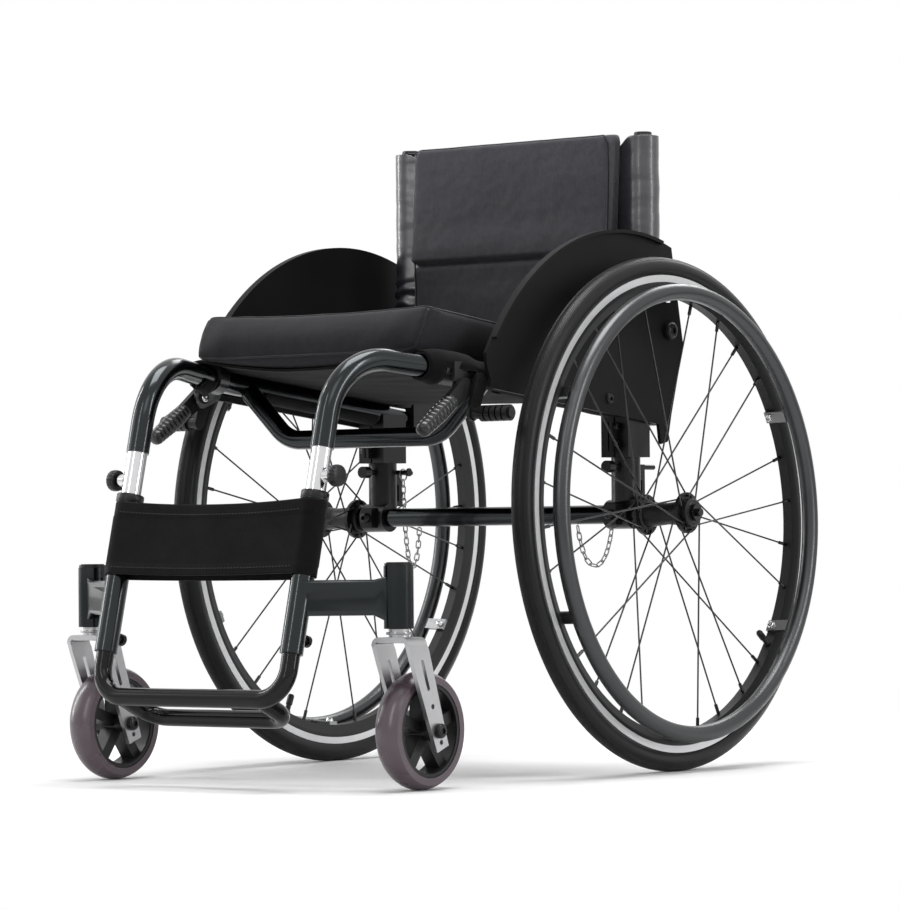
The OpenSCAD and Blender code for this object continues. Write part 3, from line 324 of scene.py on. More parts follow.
def two_tone(name, mask, first, second, **plain):
    """A finish that goes from one colour, metal and roughness to another where a mask is 1"""
    material, tree, shader = new_material(name, **plain)
    group = place_group(tree, "Surface Grain", Scale=1400.0)
    factor = mask(tree)
    tones = []
    for colour in (first[0], second[0]):
        tones.append(mix_colour(tree, group.outputs["Drift"], *(shade(colour, tone) for tone in TWO_TONES)))
    tree.links.new(mix_colour(tree, factor, *tones), shader.inputs["Base Color"])
    tree.links.new(map_range(tree, factor, first[1], second[1], (0.0, 1.0)), shader.inputs["Metallic"])
    tree.links.new(map_range(tree, factor, first[2], second[2], (0.0, 1.0)), shader.inputs["Roughness"])
    add_bump(tree, shader, group.outputs["Height"], 0.05, 0.0002)
    return material


CLAMP_PLATE_X = 0.1826
CLAMP_FACING = -0.06
BRAKE_BAND_R = 0.2660
TAB_REACH = 0.0212


def outboard_mask(tree):
    """1 on the inner sides of the brake clamps' base plates, which stand outboard of their rings"""
    across = split_axes(tree, object_place(tree))["X"]
    facing = split_axes(tree, tree.nodes.new("ShaderNodeNewGeometry").outputs["Normal"])["X"]
    inward = math_node(tree, "MULTIPLY", across, facing)
    outboard = math_node(tree, "GREATER_THAN", math_node(tree, "ABSOLUTE", across), CLAMP_PLATE_X)
    return math_node(tree, "MULTIPLY", outboard, math_node(tree, "LESS_THAN", inward, CLAMP_FACING))


def rim_finish(side):
    """Black rim with a bright brake band next to the tyre"""
    c = colours()
    return two_tone("RimFinish_" + side, lambda tree: radius_mask(tree, side, BRAKE_BAND_R),
                    (c.black_paint, 0.0, 0.5), (shade(c.steel, 1.1), 0.35, 0.34), Specular_IOR_Level=0.35)


def handrim_finish(side):
    """Anodised ring on grey tabs"""
    c = colours()
    return two_tone("HandRimFinish_" + side, lambda tree: axial_mask(tree, side, TAB_REACH),
                    (c.hand_rim, 1.0, 0.32), (shade(c.steel, 0.4), 1.0, 0.3))


def make_finishes():
    c = colours()
    made = {
        "frame": hard_finish("GunmetalPaint", c.frame_paint, 1.0, 0.2, grain=1600.0, bump=0.03, spread=0.04,
                             tone=0.1, Coat_Weight=0.25, Coat_Roughness=0.05),
        "black": hard_finish("SatinBlack", c.black_paint, 0.0, 0.3, grain=1200.0, bump=0.05,
                             Specular_IOR_Level=0.3),
        "steel": hard_finish("PolishedSteel", c.steel, 1.0, 0.14, grain=2000.0, bump=0.02, spread=0.04,
                             tone=0.06),
        "dark_steel": hard_finish("DarkSteel", shade(c.steel, 0.07), 1.0, 0.22, grain=1800.0, bump=0.04,
                                  tone=0.08),
        "chain": hard_finish("ChainSteel", shade(c.steel, 0.42), 1.0, 0.3, grain=1500.0, bump=0.08,
                             tone=0.12),
        "clamp": two_tone("ClampFinish", outboard_mask, (c.black_paint, 0.0, 0.32), (c.alloy, 0.95, 0.3)),
        "gloss": hard_finish("GlossBlack", c.black_paint, 0.0, 0.12, grain=1600.0, bump=0.03, spread=0.03,
                             Specular_IOR_Level=0.22),
        "thread": cloth_finish("SewingThread", shade(c.sling, 2.5), 900.0, 0.8, bump=0.3),
        "alloy": hard_finish("ForkAlloy", shade(c.alloy, 0.82), 0.95, 0.34, grain=1500.0, bump=0.08,
                             tone=0.06),
        "plastic": hard_finish("MouldedPlastic", c.plastic, 0.0, 0.38, grain=1300.0, bump=0.12,
                               Specular_IOR_Level=0.3),
        "guard": hard_finish("GuardPlastic", c.guard, 0.0, 0.55, grain=2600.0, bump=0.2, depth=0.0003,
                             Specular_IOR_Level=0.13),
        "tyre": hard_finish("TyreRubber", c.tyre, 0.0, 0.36, grain=1800.0, bump=0.2, depth=0.0003, tone=0.25,
                            Specular_IOR_Level=0.2),
        "caster": hard_finish("CasterRubber", c.caster, 0.0, 0.27, grain=700.0, bump=0.1, spread=0.05,
                              tone=0.14, Specular_IOR_Level=0.6),
        "grip": hard_finish("GripRubber", c.plastic, 0.0, 0.3, bump=0.2, depth=0.0003,
                            Specular_IOR_Level=0.5),
        "spoke": hard_finish("BlackSpoke", shade(c.steel, 0.075), 1.0, 0.3, grain=1800.0, bump=0.03),
        "seat": cloth_finish("SeatCloth", shade(c.seat, 0.85), 520.0, 0.88, sheen=0.12, gloss=0.12),
        "pad": cloth_finish("PadCloth", shade(c.seat, 3.1), 520.0, 0.82, sheen=0.25),
        "welt": cloth_finish("WeltCloth", shade(c.seat, 0.5), 520.0, 0.8, bump=0.3),
        "sling": cloth_finish("SlingCanvas", c.sling, 640.0, 0.9, sheen=0.05, gloss=0.1),
        "vinyl": hard_finish("SleeveVinyl", c.vinyl, 0.0, 0.36, bump=0.12, depth=0.0003, tone=0.25,
                             Specular_IOR_Level=0.7, Coat_Weight=0.6, Coat_Roughness=0.22),
    }
    for side in SIDES:
        made["rim_" + side] = rim_finish(side)
        made["handrim_" + side] = handrim_finish(side)
    return made


NODE_FINISH = {
    "frame": ["side_frame", "cross_brace", "camber_tube", "back_cross_bar", "cane", "front_leg"],
    "gloss": ["footrest"],
    "black": ["column_bracket", "axle_column", "back_bracket", "brake_lever",
              "brake_shoe", "brake_pins", "set_screws", "back_pivot_bolts", "caster_axle", "column_pins"],
    "steel": ["leg_posts"],
    "dark_steel": ["release_axles", "release_button"],
    "chain": ["chains"],
    "alloy": ["fork"],
    "clamp": ["brake_clamp"],
    "plastic": ["hub", "cane_plugs", "housing_caps", "lock_knob", "caster_hub"],
    "guard": ["side_guard"],
    "tyre": ["tyre"],
    "caster": ["caster_tyre"],
    "spoke": ["spokes"],
    "seat": ["seat_cushion"],
    "pad": ["back_pad"],
    "sling": ["seat_sling", "calf_strap"],
    "vinyl": ["back_sling"],
}
FINISHES = {}


class WHEELCHAIR_OT_finishes(bpy.types.Operator):
    """Gives every solid of the chair its finish"""

    bl_idname = "wheelchair.finishes"
    bl_label = "Finishes"

    def execute(self, context):
        FINISHES.update(make_finishes())
        for finish, names in NODE_FINISH.items():
            for name in names:
                for node in [name] + [name + "_" + side for side in SIDES]:
                    if node in NODES:
                        set_finish(NODES[node], FINISHES[finish])
        for side in SIDES:
            for name in ("rim_", "handrim_"):
                set_finish(NODES[name + side], FINISHES[name + side])
        return {"FINISHED"}


def set_finish(piece, material):
    piece.data.materials.clear()
    piece.data.materials.append(material)


# Helpers that make and place pieces


def to_mesh(name, shape):
    """Turns a bmesh into a mesh and frees it"""
    mesh = bpy.data.meshes.new(name)
    shape.to_mesh(mesh)
    shape.free()
    return mesh


def new_object(name, data):
    made = bpy.data.objects.new(name, data)
    bpy.context.collection.objects.link(made)
    return made


def shade_smooth(mesh):
    mesh.polygons.foreach_set("use_smooth", [True] * len(mesh.polygons))


def make_piece(name, shape, body, finish):
    """Turns a bmesh into a piece that rides on a body"""
    bmesh.ops.recalc_face_normals(shape, faces=shape.faces)
    mesh = to_mesh(name, shape)
    shade_smooth(mesh)
    mesh.materials.append(FINISHES[finish])
    piece = new_object(name, mesh)
    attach(piece, body)
    return piece


def apply_modifiers(piece):
    graph = bpy.context.evaluated_depsgraph_get()
    made = bpy.data.meshes.new_from_object(piece.evaluated_get(graph))
    old = piece.data
    piece.modifiers.clear()
    piece.data = made
    bpy.data.meshes.remove(old)


def grid(across, along):
    """A flat sheet of quads on the unit square"""
    shape = bmesh.new()
    bmesh.ops.create_grid(shape, x_segments=across, y_segments=along, size=0.5)
    for vertex in shape.verts:
        vertex.co += Vector((0.5, 0.5, 0.0))
    return shape


def move_all(shape, rule):
    for vertex in shape.verts:
        vertex.co = rule(vertex.co)


def thicken(piece, thickness, offset=0.0):
    solid = piece.modifiers.new("Thickness", "SOLIDIFY")
    solid.thickness = thickness
    solid.offset = offset


def round_edges(shape, radius):
    """Rounds every edge of a block and turns its faces into triangles"""
    bmesh.ops.bevel(shape, geom=shape.edges[:], offset=radius, affect="EDGES", segments=3, profile=0.5,
                    material=-1)
    bmesh.ops.triangulate(shape, faces=shape.faces)


def sweep(shape, path, radius, closed=False, sides=8):
    """A round bead along a path of points"""
    count = len(path)
    rings = []
    for i, point in enumerate(path):
        ahead = path[(i + 1) % count] if closed or i < count - 1 else point
        behind = path[i - 1] if closed or i else point
        turn = (ahead - behind).to_track_quat("Z", "Y").to_matrix().to_4x4()
        place = Matrix.Translation(point) @ turn
        rings.append(bmesh.ops.create_circle(shape, segments=sides, radius=radius, matrix=place)["verts"])
    for i in range(count if closed else count - 1):
        pair = rings[i] + rings[(i + 1) % count]
        edges = {e for v in pair for e in v.link_edges if e.verts[0] in pair and e.verts[1] in pair}
        loops = [e for e in edges if len({v in rings[i] for v in e.verts}) == 1]
        bmesh.ops.bridge_loops(shape, edges=loops)
    if not closed:
        for ring in (rings[0], rings[-1]):
            bmesh.ops.contextual_create(shape, geom=ring)


STITCH_R = 0.00045
STITCH_L = 0.0032
STITCH_SPACE = 0.0014


def stitch_row(shape, path, normals):
    """Short raised stitches along a path that lies on a surface"""
    scale = Matrix.Diagonal((STITCH_L / 2, STITCH_R * 1.4, STITCH_R, 1.0))
    run = 0.0
    for i in range(len(path) - 1):
        step = path[i + 1] - path[i]
        while run < step.length:
            place = path[i] + step * (run / step.length)
            side = step.cross(normals[i])
            turn = Matrix((step.normalized(), side.normalized(), normals[i])).transposed().to_4x4()
            bmesh.ops.create_icosphere(shape, subdivisions=1, radius=1.0,
                                       matrix=Matrix.Translation(place) @ turn @ scale)
            run += STITCH_L + STITCH_SPACE
        run -= step.length


def ripple(point, scale, stretch):
    """Smooth, repeatable unevenness at a point, from -1 to 1"""
    return noise.noise(Vector(c * s * scale for c, s in zip(point, stretch)))


def creased(point, creases):
    """Several sizes of ripple, each with its depth, scale and stretch, added up at a point"""
    return sum(depth * ripple(point, scale, stretch) for depth, scale, stretch in creases)


EVEN = (1.0, 1.0, 1.0)


def hump(t):
    """1 in the middle, falling to 0 at -1 and 1"""
    return max(0.0, 1.0 - t ** 2)


def smooth_step(value, low, high):
    t = min(max((value - low) / (high - low), 0.0), 1.0)
    return t * t * (3.0 - 2.0 * t)


# Main lines of the frame that the upholstery hangs on, in metres with the rear axle at y = 0

RAIL_X = 0.175
LEG_X = 0.132
CORNER_REACH = 0.465
CORNER_Z = 0.4694
TAPER_REACH = 0.294
TUBE_R = 0.0127
SEAT_FALL = radians(6.0)
LEG_LEAN = radians(14.0)
CANE_X = 0.1726
CANE_BACK = 0.060
SLING_T = 0.0024
SLING_FRONT = 0.356
SLING_BACK = 0.012
EASE = 0.0004
SLEEVE_R = TUBE_R + EASE + SLING_T / 2
SLING_SAG = 0.004
SLING_FRONT_SAG = 0.010
SAG_REACH = 0.07


def rail_z(y):
    """Height of a seat rail's middle line"""
    return CORNER_Z - (y + CORNER_REACH) * sin(SEAT_FALL) / cos(SEAT_FALL)


def leg_y(z):
    """Reach of a front leg's middle line"""
    return -CORNER_REACH - (CORNER_Z - z) * sin(LEG_LEAN) / cos(LEG_LEAN)


def rail_x(y):
    """Distance of a seat rail from the middle, which draws in ahead of the taper"""
    if y > -TAPER_REACH:
        return RAIL_X
    return RAIL_X + (LEG_X - RAIL_X) * (-TAPER_REACH - y) / (CORNER_REACH - TAPER_REACH)


def sling_sag(x, y):
    """How far the sling hangs below its rails"""
    front = 1.0 - smooth_step(y, -SLING_FRONT, -SLING_FRONT + SAG_REACH)
    span = rail_x(y) - 0.004
    return (SLING_SAG + SLING_FRONT_SAG * front) * hump(x / span)


# Seat cushion


CUSHION_BASE = 0.0162
CUSHION_TOP = 0.0695
CUSHION_CORNERS = (
    ((0.1565, -0.3640, CUSHION_BASE), (0.1605, -0.3450, CUSHION_TOP)),
    ((0.1590, 0.0215, CUSHION_BASE), (0.1590, 0.0190, CUSHION_TOP)),
)


def seat_place(point):
    """From the seat's own frame, level with the rails, to the chair's frame"""
    turn = Matrix.Rotation(-SEAT_FALL, 3, "X")
    return turn @ point + Vector((0.0, AXLE_Y, rail_z(0.0)))


def cushion_corner(side, end, level):
    x, y, z = CUSHION_CORNERS[end][level]
    return Vector((x * side, y, z))


def cushion_seams():
    """The sewn edges of the cushion's cover, in the seat's frame"""
    rims = []
    for level in (0, 1):
        rims.append([cushion_corner(1, 0, level), cushion_corner(1, 1, level), cushion_corner(-1, 1, level),
                     cushion_corner(-1, 0, level), cushion_corner(1, 0, level)])
    posts = [[cushion_corner(s, e, 0), cushion_corner(s, e, 1)] for s in (1, -1) for e in (0, 1)]
    return rims, posts


def seam_distance(point, lines):
    """Distance from a point to the nearest of several lines of points"""
    best = 1.0
    for line in lines:
        for a, b in zip(line, line[1:]):
            run = b - a
            t = min(max((point - a).dot(run) / run.length_squared, 0.0), 1.0)
            best = min(best, (point - a - run * t).length)
    return best


PUFF_PRESSURE = 4.0
PUFF_STEPS = 20
SEAM_HOLD = 0.007


def puff(piece, voxel, cap, seams):
    """Fills a sewn cover with Cloth: its seams hold, its panels swell, and no point moves past the cap"""
    remesh = piece.modifiers.new("Remesh", "REMESH")
    remesh.mode = "VOXEL"
    remesh.voxel_size = voxel
    apply_modifiers(piece)
    start = [v.co.copy() for v in piece.data.vertices]
    pins = piece.vertex_groups.new(name="Seams")
    for i, place in enumerate(start):
        weight = 1.0 - smooth_step(seam_distance(place, seams), SEAM_HOLD * 0.5, SEAM_HOLD * 1.5)
        if weight > 0.0:
            pins.add([i], weight, "REPLACE")
    cloth = piece.modifiers.new("Cloth", "CLOTH")
    cloth.settings.quality = 6
    cloth.settings.use_pressure = True
    cloth.settings.uniform_pressure_force = PUFF_PRESSURE
    cloth.settings.vertex_group_mass = "Seams"
    cloth.settings.effector_weights.gravity = 0.0
    cloth.collision_settings.use_collision = False
    for step in range(1, PUFF_STEPS + 1):
        bpy.context.scene.frame_set(step)
    apply_modifiers(piece)
    bpy.context.scene.frame_set(1)
    piece.vertex_groups.clear()
    for vertex, place in zip(piece.data.vertices, start):
        move = vertex.co - place
        if move.length > cap:
            vertex.co = place + move * (cap / move.length)


def refine(piece, rule):
    """One round of subdivision, then a rule moves every point"""
    smooth = piece.modifiers.new("Smoothing", "SUBSURF")
    smooth.levels = 1
    smooth.render_levels = 1
    apply_modifiers(piece)
    for vertex in piece.data.vertices:
        vertex.co = rule(vertex.co)
    shade_smooth(piece.data)


WELT_STEP = 0.004


def on_surface(piece, line):
    """Points along a line, brought onto a piece's surface"""
    tree = BVHTree.FromObject(piece, bpy.context.evaluated_depsgraph_get())
    places = []
    for a, b in zip(line, line[1:]):
        count = max(int((b - a).length / WELT_STEP), 1)
        for i in range(count):
            places.append(tree.find_nearest(a + (b - a) * (i / count))[0])
    return places


class WHEELCHAIR_OT_cushion(bpy.types.Operator):
    """Sews and fills the seat cushion"""

    bl_idname = "wheelchair.cushion"
    bl_label = "Seat Cushion"

    edge_r = 0.005
    voxel = 0.005
    most_swell = 0.008
    front_swell = 0.009
    side_swell = 0.016
    swell_power = 0.8
    under_band = (-0.004, 0.012)
    rise_start = 0.01
    front_band = (0.300, 0.352)
    side_band = (0.120, 0.157)
    half_x = 0.156
    middle_y = -0.171
    crown = 0.004
    crown_half_y = 0.19
    front_dip = 0.005
    dip_y = -0.345
    dip_l = 0.05
    side_draw = 0.012
    draw_band = (0.10, 0.15)
    draw_half_y = 0.192
    creases = ((0.0009, 26.0, (1.0, 0.6, 1.6)), (0.0005, 70.0, EVEN))
    welt_r = 0.0011
    post_welt_r = 0.0009

    def execute(self, context):
        shape = bmesh.new()
        made = bmesh.ops.create_cube(shape, size=2.0)
        for vertex in made["verts"]:
            side, end, level = vertex.co
            vertex.co = cushion_corner(side, int(end > 0), int(level > 0))
        round_edges(shape, self.edge_r)
        piece = make_piece("cushion_cover", shape, "frame", "seat")
        rims, posts = cushion_seams()
        puff(piece, self.voxel, self.most_swell, rims + posts)
        refine(piece, self.settle)
        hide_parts("seat_cushion")
        self.welts(piece, rims, posts)
        return {"FINISHED"}

    def settle(self, place):
        """Rests the underside on the sling, swells the front and sides and crumples the cover a little"""
        x, y, z = place
        under = 1.0 - smooth_step(z - CUSHION_BASE, *self.under_band)
        rise = smooth_step(z, CUSHION_BASE + self.rise_start, CUSHION_TOP)
        crown = self.crown * hump(x / self.half_x) * hump((y - self.middle_y) / self.crown_half_y)
        dip = self.front_dip * exp(-((y - self.dip_y) / self.dip_l) ** 2) * hump(x / self.half_x)
        z = max(z, CUSHION_BASE) - under * sling_sag(x, y) + rise * (crown - dip)
        crease = creased((x, y, z), self.creases)
        waist = 1.0 - ((y - self.middle_y) / self.draw_half_y) ** 2
        drawn = 1.0 - self.side_draw * waist * smooth_step(abs(x), *self.draw_band)
        level = (place.z - CUSHION_BASE) / (CUSHION_TOP - CUSHION_BASE)
        swell = max(0.0, 4.0 * level * (1.0 - level)) ** self.swell_power
        side = smooth_step(abs(x), *self.side_band)
        y -= self.front_swell * swell * smooth_step(-y, *self.front_band) * (1.0 - 0.5 * side)
        drawn += self.side_swell * swell * side
        return seat_place(Vector((x * drawn, y + crease * 0.6, z + crease * (1.0 - under))))

    def welts(self, piece, rims, posts):
        shape = bmesh.new()
        for line in rims:
            sweep(shape, on_surface(piece, [seat_place(p) for p in line]), self.welt_r, closed=True)
        for line in posts:
            sweep(shape, on_surface(piece, [seat_place(p) for p in line]), self.post_welt_r)
        make_piece("cushion_welt", shape, "frame", "welt")


# Seat sling


class WHEELCHAIR_OT_sling(bpy.types.Operator):
    """Hangs the seat sling on its two rails, sewn into a sleeve round each"""

    bl_idname = "wheelchair.sling"
    bl_label = "Seat Sling"

    across = 84
    along = 81
    wrap = radians(250.0)
    notches = ((-0.336, -0.283, radians(95.0)), (-0.283, -0.235, radians(150.0)), (-0.020, 0.03, 0.0))
    clamp_y = -0.320
    clamp_near = 0.013
    clamp_far = 0.041
    clamp_r = 0.0192
    near_sleeve = (-0.034, -0.008)
    folds = ((0.0012, 24.0, (0.5, 1.8, 1.0)),)
    crumples = ((0.035, 46.0, EVEN),)

    def execute(self, context):
        shape = grid(self.across, self.along)
        self.cut_notches(shape)
        move_all(shape, self.place)
        piece = make_piece("sling_cloth", shape, "frame", "sling")
        thicken(piece, SLING_T)
        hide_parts("seat_sling")
        return {"FINISHED"}

    def depth(self, v):
        return -SLING_FRONT + (SLING_FRONT + SLING_BACK) * v

    def flat_half(self):
        return RAIL_X / (RAIL_X + SLEEVE_R * self.wrap)

    def turn(self, reach):
        """How far round its rail the sleeve has gone"""
        half = self.flat_half()
        return (reach - half) / (1.0 - half) * self.wrap

    def sleeve_r(self, y):
        """The sleeve's radius, which swells over the brake clamp"""
        near = 1.0 - smooth_step(abs(y - self.clamp_y), self.clamp_near, self.clamp_far)
        return SLEEVE_R + (self.clamp_r - SLEEVE_R) * near

    def cut_notches(self, shape):
        gone = []
        for face in shape.faces:
            u, v, _ = face.calc_center_median()
            y = self.depth(v)
            turn = self.turn(abs(2.0 * u - 1.0))
            if any(a < y < b and turn > most for a, b, most in self.notches):
                gone.append(face)
        bmesh.ops.delete(shape, geom=gone, context="FACES")

    def place(self, point):
        u, v, _ = point
        y = self.depth(v)
        side = 1.0 if u > 0.5 else -1.0
        reach = abs(2.0 * u - 1.0)
        half = self.flat_half()
        x_rail = rail_x(y)
        if reach <= half:
            x = side * x_rail * reach / half
            drop = sling_sag(x, y)
            fold = creased((x, y, 0.3), self.folds)
            near = smooth_step(abs(x) - x_rail, *self.near_sleeve)
            high = SLEEVE_R + (self.sleeve_r(y) - SLEEVE_R) * near
            return Vector((x, y + AXLE_Y, rail_z(y) + high - drop + fold))
        turn = self.turn(reach)
        r = self.sleeve_r(y) * (1.0 + self.crumples[0][0] + creased((side, y, turn * 0.02), self.crumples))
        return Vector((side * (x_rail + r * sin(turn)), y + AXLE_Y, rail_z(y) + r * cos(turn)))


# Back pad


PAD_LOW_Z = 0.516
PAD_HIGH_Z = 0.7405
PAD_SEAM_Z = 0.6032
PAD_HALF = 0.1445
PAD_REAR_Y = CANE_BACK - 0.0076
PAD_FRONT_Y = PAD_REAR_Y - 0.0235


class WHEELCHAIR_OT_back_pad(bpy.types.Operator):
    """Sews and fills the back pad, an upper field that laps over a lower one"""

    bl_idname = "wheelchair.back_pad"
    bl_label = "Back Pad"

    edge_r = 0.004
    voxel = 0.0034
    most_swell = 0.006
    corner_cut = 0.006
    lean = 0.05
    ear = 0.0045
    seam_inset = 0.008
    facing_band = (-0.014, -0.002)
    groove = 0.008
    groove_drop = 0.003
    groove_half = 0.0032
    lap = 0.0055
    lap_band = (-0.001, 0.003)
    lap_fade = (0.01, 0.05)
    low_sink = 0.0030
    sink_band = (-0.03, 0.0)
    ear_l = 0.014
    ear_h = 0.016
    lean_rise = 0.06
    creases = ((0.0008, 30.0, (1.0, 0.5, 1.0)), (0.0004, 80.0, EVEN))
    welt_r = 0.001

    def outline(self):
        cut = self.corner_cut
        half = [(PAD_HALF, PAD_LOW_Z), (PAD_HALF, PAD_HIGH_Z - 1.8 * cut), (PAD_HALF - cut, PAD_HIGH_Z)]
        return half + [(-x, z) for x, z in reversed(half)]

    def seams(self):
        lines = []
        for y in (PAD_FRONT_Y, PAD_REAR_Y):
            ring = [Vector((x, y, z)) for x, z in self.outline()]
            lines.append(ring + ring[:1])
        lines.append([Vector((x, PAD_FRONT_Y + self.seam_inset, PAD_SEAM_Z)) for x in (-PAD_HALF, PAD_HALF)])
        return lines

    def execute(self, context):
        shape = bmesh.new()
        ring = [shape.verts.new((x, PAD_REAR_Y, z)) for x, z in self.outline()]
        rear = shape.faces.new(ring)
        made = bmesh.ops.extrude_face_region(shape, geom=[rear])
        front = [v for v in made["geom"] if isinstance(v, bmesh.types.BMVert)]
        bmesh.ops.translate(shape, verts=front, vec=(0.0, PAD_FRONT_Y - PAD_REAR_Y, 0.0))
        bmesh.ops.recalc_face_normals(shape, faces=shape.faces)
        round_edges(shape, self.edge_r)
        piece = make_piece("back_pad_cover", shape, "backrest", "pad")
        seams = self.seams()
        puff(piece, self.voxel, self.most_swell, seams)
        refine(piece, self.channel)
        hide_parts("back_pad")
        shape = bmesh.new()
        front_ring = [p + Vector((0.0, AXLE_Y, 0.0)) for p in seams[0]]
        sweep(shape, on_surface(piece, front_ring), self.welt_r, closed=True)
        make_piece("back_pad_welt", shape, "backrest", "welt")
        return {"FINISHED"}

    def channel(self, place):
        """Sinks the seam, laps the upper field over the lower and crumples the cover"""
        x, y, z = place
        rise = z - PAD_SEAM_Z
        facing = smooth_step(PAD_FRONT_Y - y, *self.facing_band)
        groove = self.groove * exp(-((rise + self.groove_drop) / self.groove_half) ** 2)
        lap = self.lap * smooth_step(rise, *self.lap_band) * (1.0 - 0.5 * smooth_step(rise, *self.lap_fade))
        sink = self.low_sink * (1.0 - smooth_step(rise, *self.sink_band))
        crease = creased((x, y, z), self.creases)
        pull = self.ear * smooth_step(abs(x), PAD_HALF - self.ear_l, PAD_HALF)
        pull *= smooth_step(z, PAD_HIGH_Z - self.ear_h, PAD_HIGH_Z)
        pull *= 1.0 - 0.6 * facing
        y += facing * (groove - lap + sink + crease)
        x += self.lean * (rise - self.lean_rise) + (pull if x > 0.0 else -pull)
        return Vector((x, y + AXLE_Y, z + pull))


# Back sling with its sleeves


class WHEELCHAIR_OT_back_sling(bpy.types.Operator):
    """Wraps the vinyl back sling round both canes, each in a drop-shaped sleeve"""

    bl_idname = "wheelchair.back_sling"
    bl_label = "Back Sling"

    low_z = 0.549
    high_z = 0.7385
    radius = 0.0170
    seam = Vector((-0.034, -0.0055))
    lap = Vector((-0.026, -0.0020))
    across = 260
    along = 190
    thickness = 0.0016
    cut_spare = (1.06, 1.12)
    top_fall = 0.013
    fall_band = (0.004, 0.034)
    sleeve_band = (-0.04, -0.02)
    bunch_z = (0.560, 0.600)
    fold_pitch = 0.016
    fold_rise = 0.0010
    fold_depth = 0.0021
    fine = ((0.00022, 60.0, (1.0, 1.0, 2.2)), (0.0006, 26.0, (1.0, 1.0, 1.8)))
    uneven = ((0.0012, 55.0, EVEN),)
    slack = ((0.0012, 22.0, (1.0, 1.0, 0.4)),)

    def execute(self, context):
        self.path = self.half_path()
        self.reach = sum((b - a).length for a, b in zip(self.path, self.path[1:]))
        shape = grid(self.across, self.along)
        move_all(shape, self.place)
        piece = make_piece("back_sling_vinyl", shape, "backrest", "vinyl")
        thicken(piece, self.thickness, offset=-1.0)
        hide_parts("back_sling")
        return {"FINISHED"}

    def half_path(self):
        """The left half of the sling in plan: from the middle, round its cane and back to the seam"""
        cane = Vector((CANE_X, CANE_BACK))
        far = self.seam.length
        middle = atan2(self.seam.y, self.seam.x) % tau
        spread = acos(self.radius / far)
        first = middle + spread
        turn = tau - 2.0 * spread
        path = [Vector((0.0, (cane + self.seam).y)), cane + self.seam]
        for i in range(41):
            angle = first + turn * i / 40
            path.append(cane + self.radius * Vector((cos(angle), sin(angle))))
        return path + [cane + self.lap]

    def along_path(self, run):
        """Place and outward normal at a run along the half path"""
        for a, b in zip(self.path, self.path[1:]):
            step = (b - a).length
            if run <= step or b is self.path[-1]:
                way = (b - a) / step
                return a + way * min(run, step), Vector((way.y, -way.x))
            run -= step

    def place(self, point):
        u, v, _ = point
        side = 1.0 if u > 0.5 else -1.0
        run = abs(2.0 * u - 1.0) * self.reach
        spot, out = self.along_path(run)
        inward = smooth_step(CANE_X - spot.x, *self.fall_band)
        z = self.low_z + (self.high_z - self.low_z - self.top_fall * inward) * v
        sleeve = smooth_step(spot.x - CANE_X, *self.sleeve_band)
        grain = (run + side, 0.0, z)
        bunch = sleeve * (1.0 - smooth_step(z, *self.bunch_z))
        beat = z / self.fold_pitch + 0.5 * ripple(grain, 40.0, EVEN) + 8.0 * run
        fold = bunch * (self.fold_rise + self.fold_depth * sin(tau * beat) + creased(grain, self.uneven))
        slack = (1.0 - sleeve) * creased(grain, self.slack)
        spot = spot + out * (creased(grain, self.fine) * sleeve + fold + slack)
        return Vector((side * spot.x, spot.y + AXLE_Y, z))


# Calf strap


STRAP_LOW_Z = 0.2295
STRAP_H = 0.082
STRAP_R = TUBE_R + EASE + 0.0012
STRAP_LOOP = 4.0 * LEG_X + tau * STRAP_R


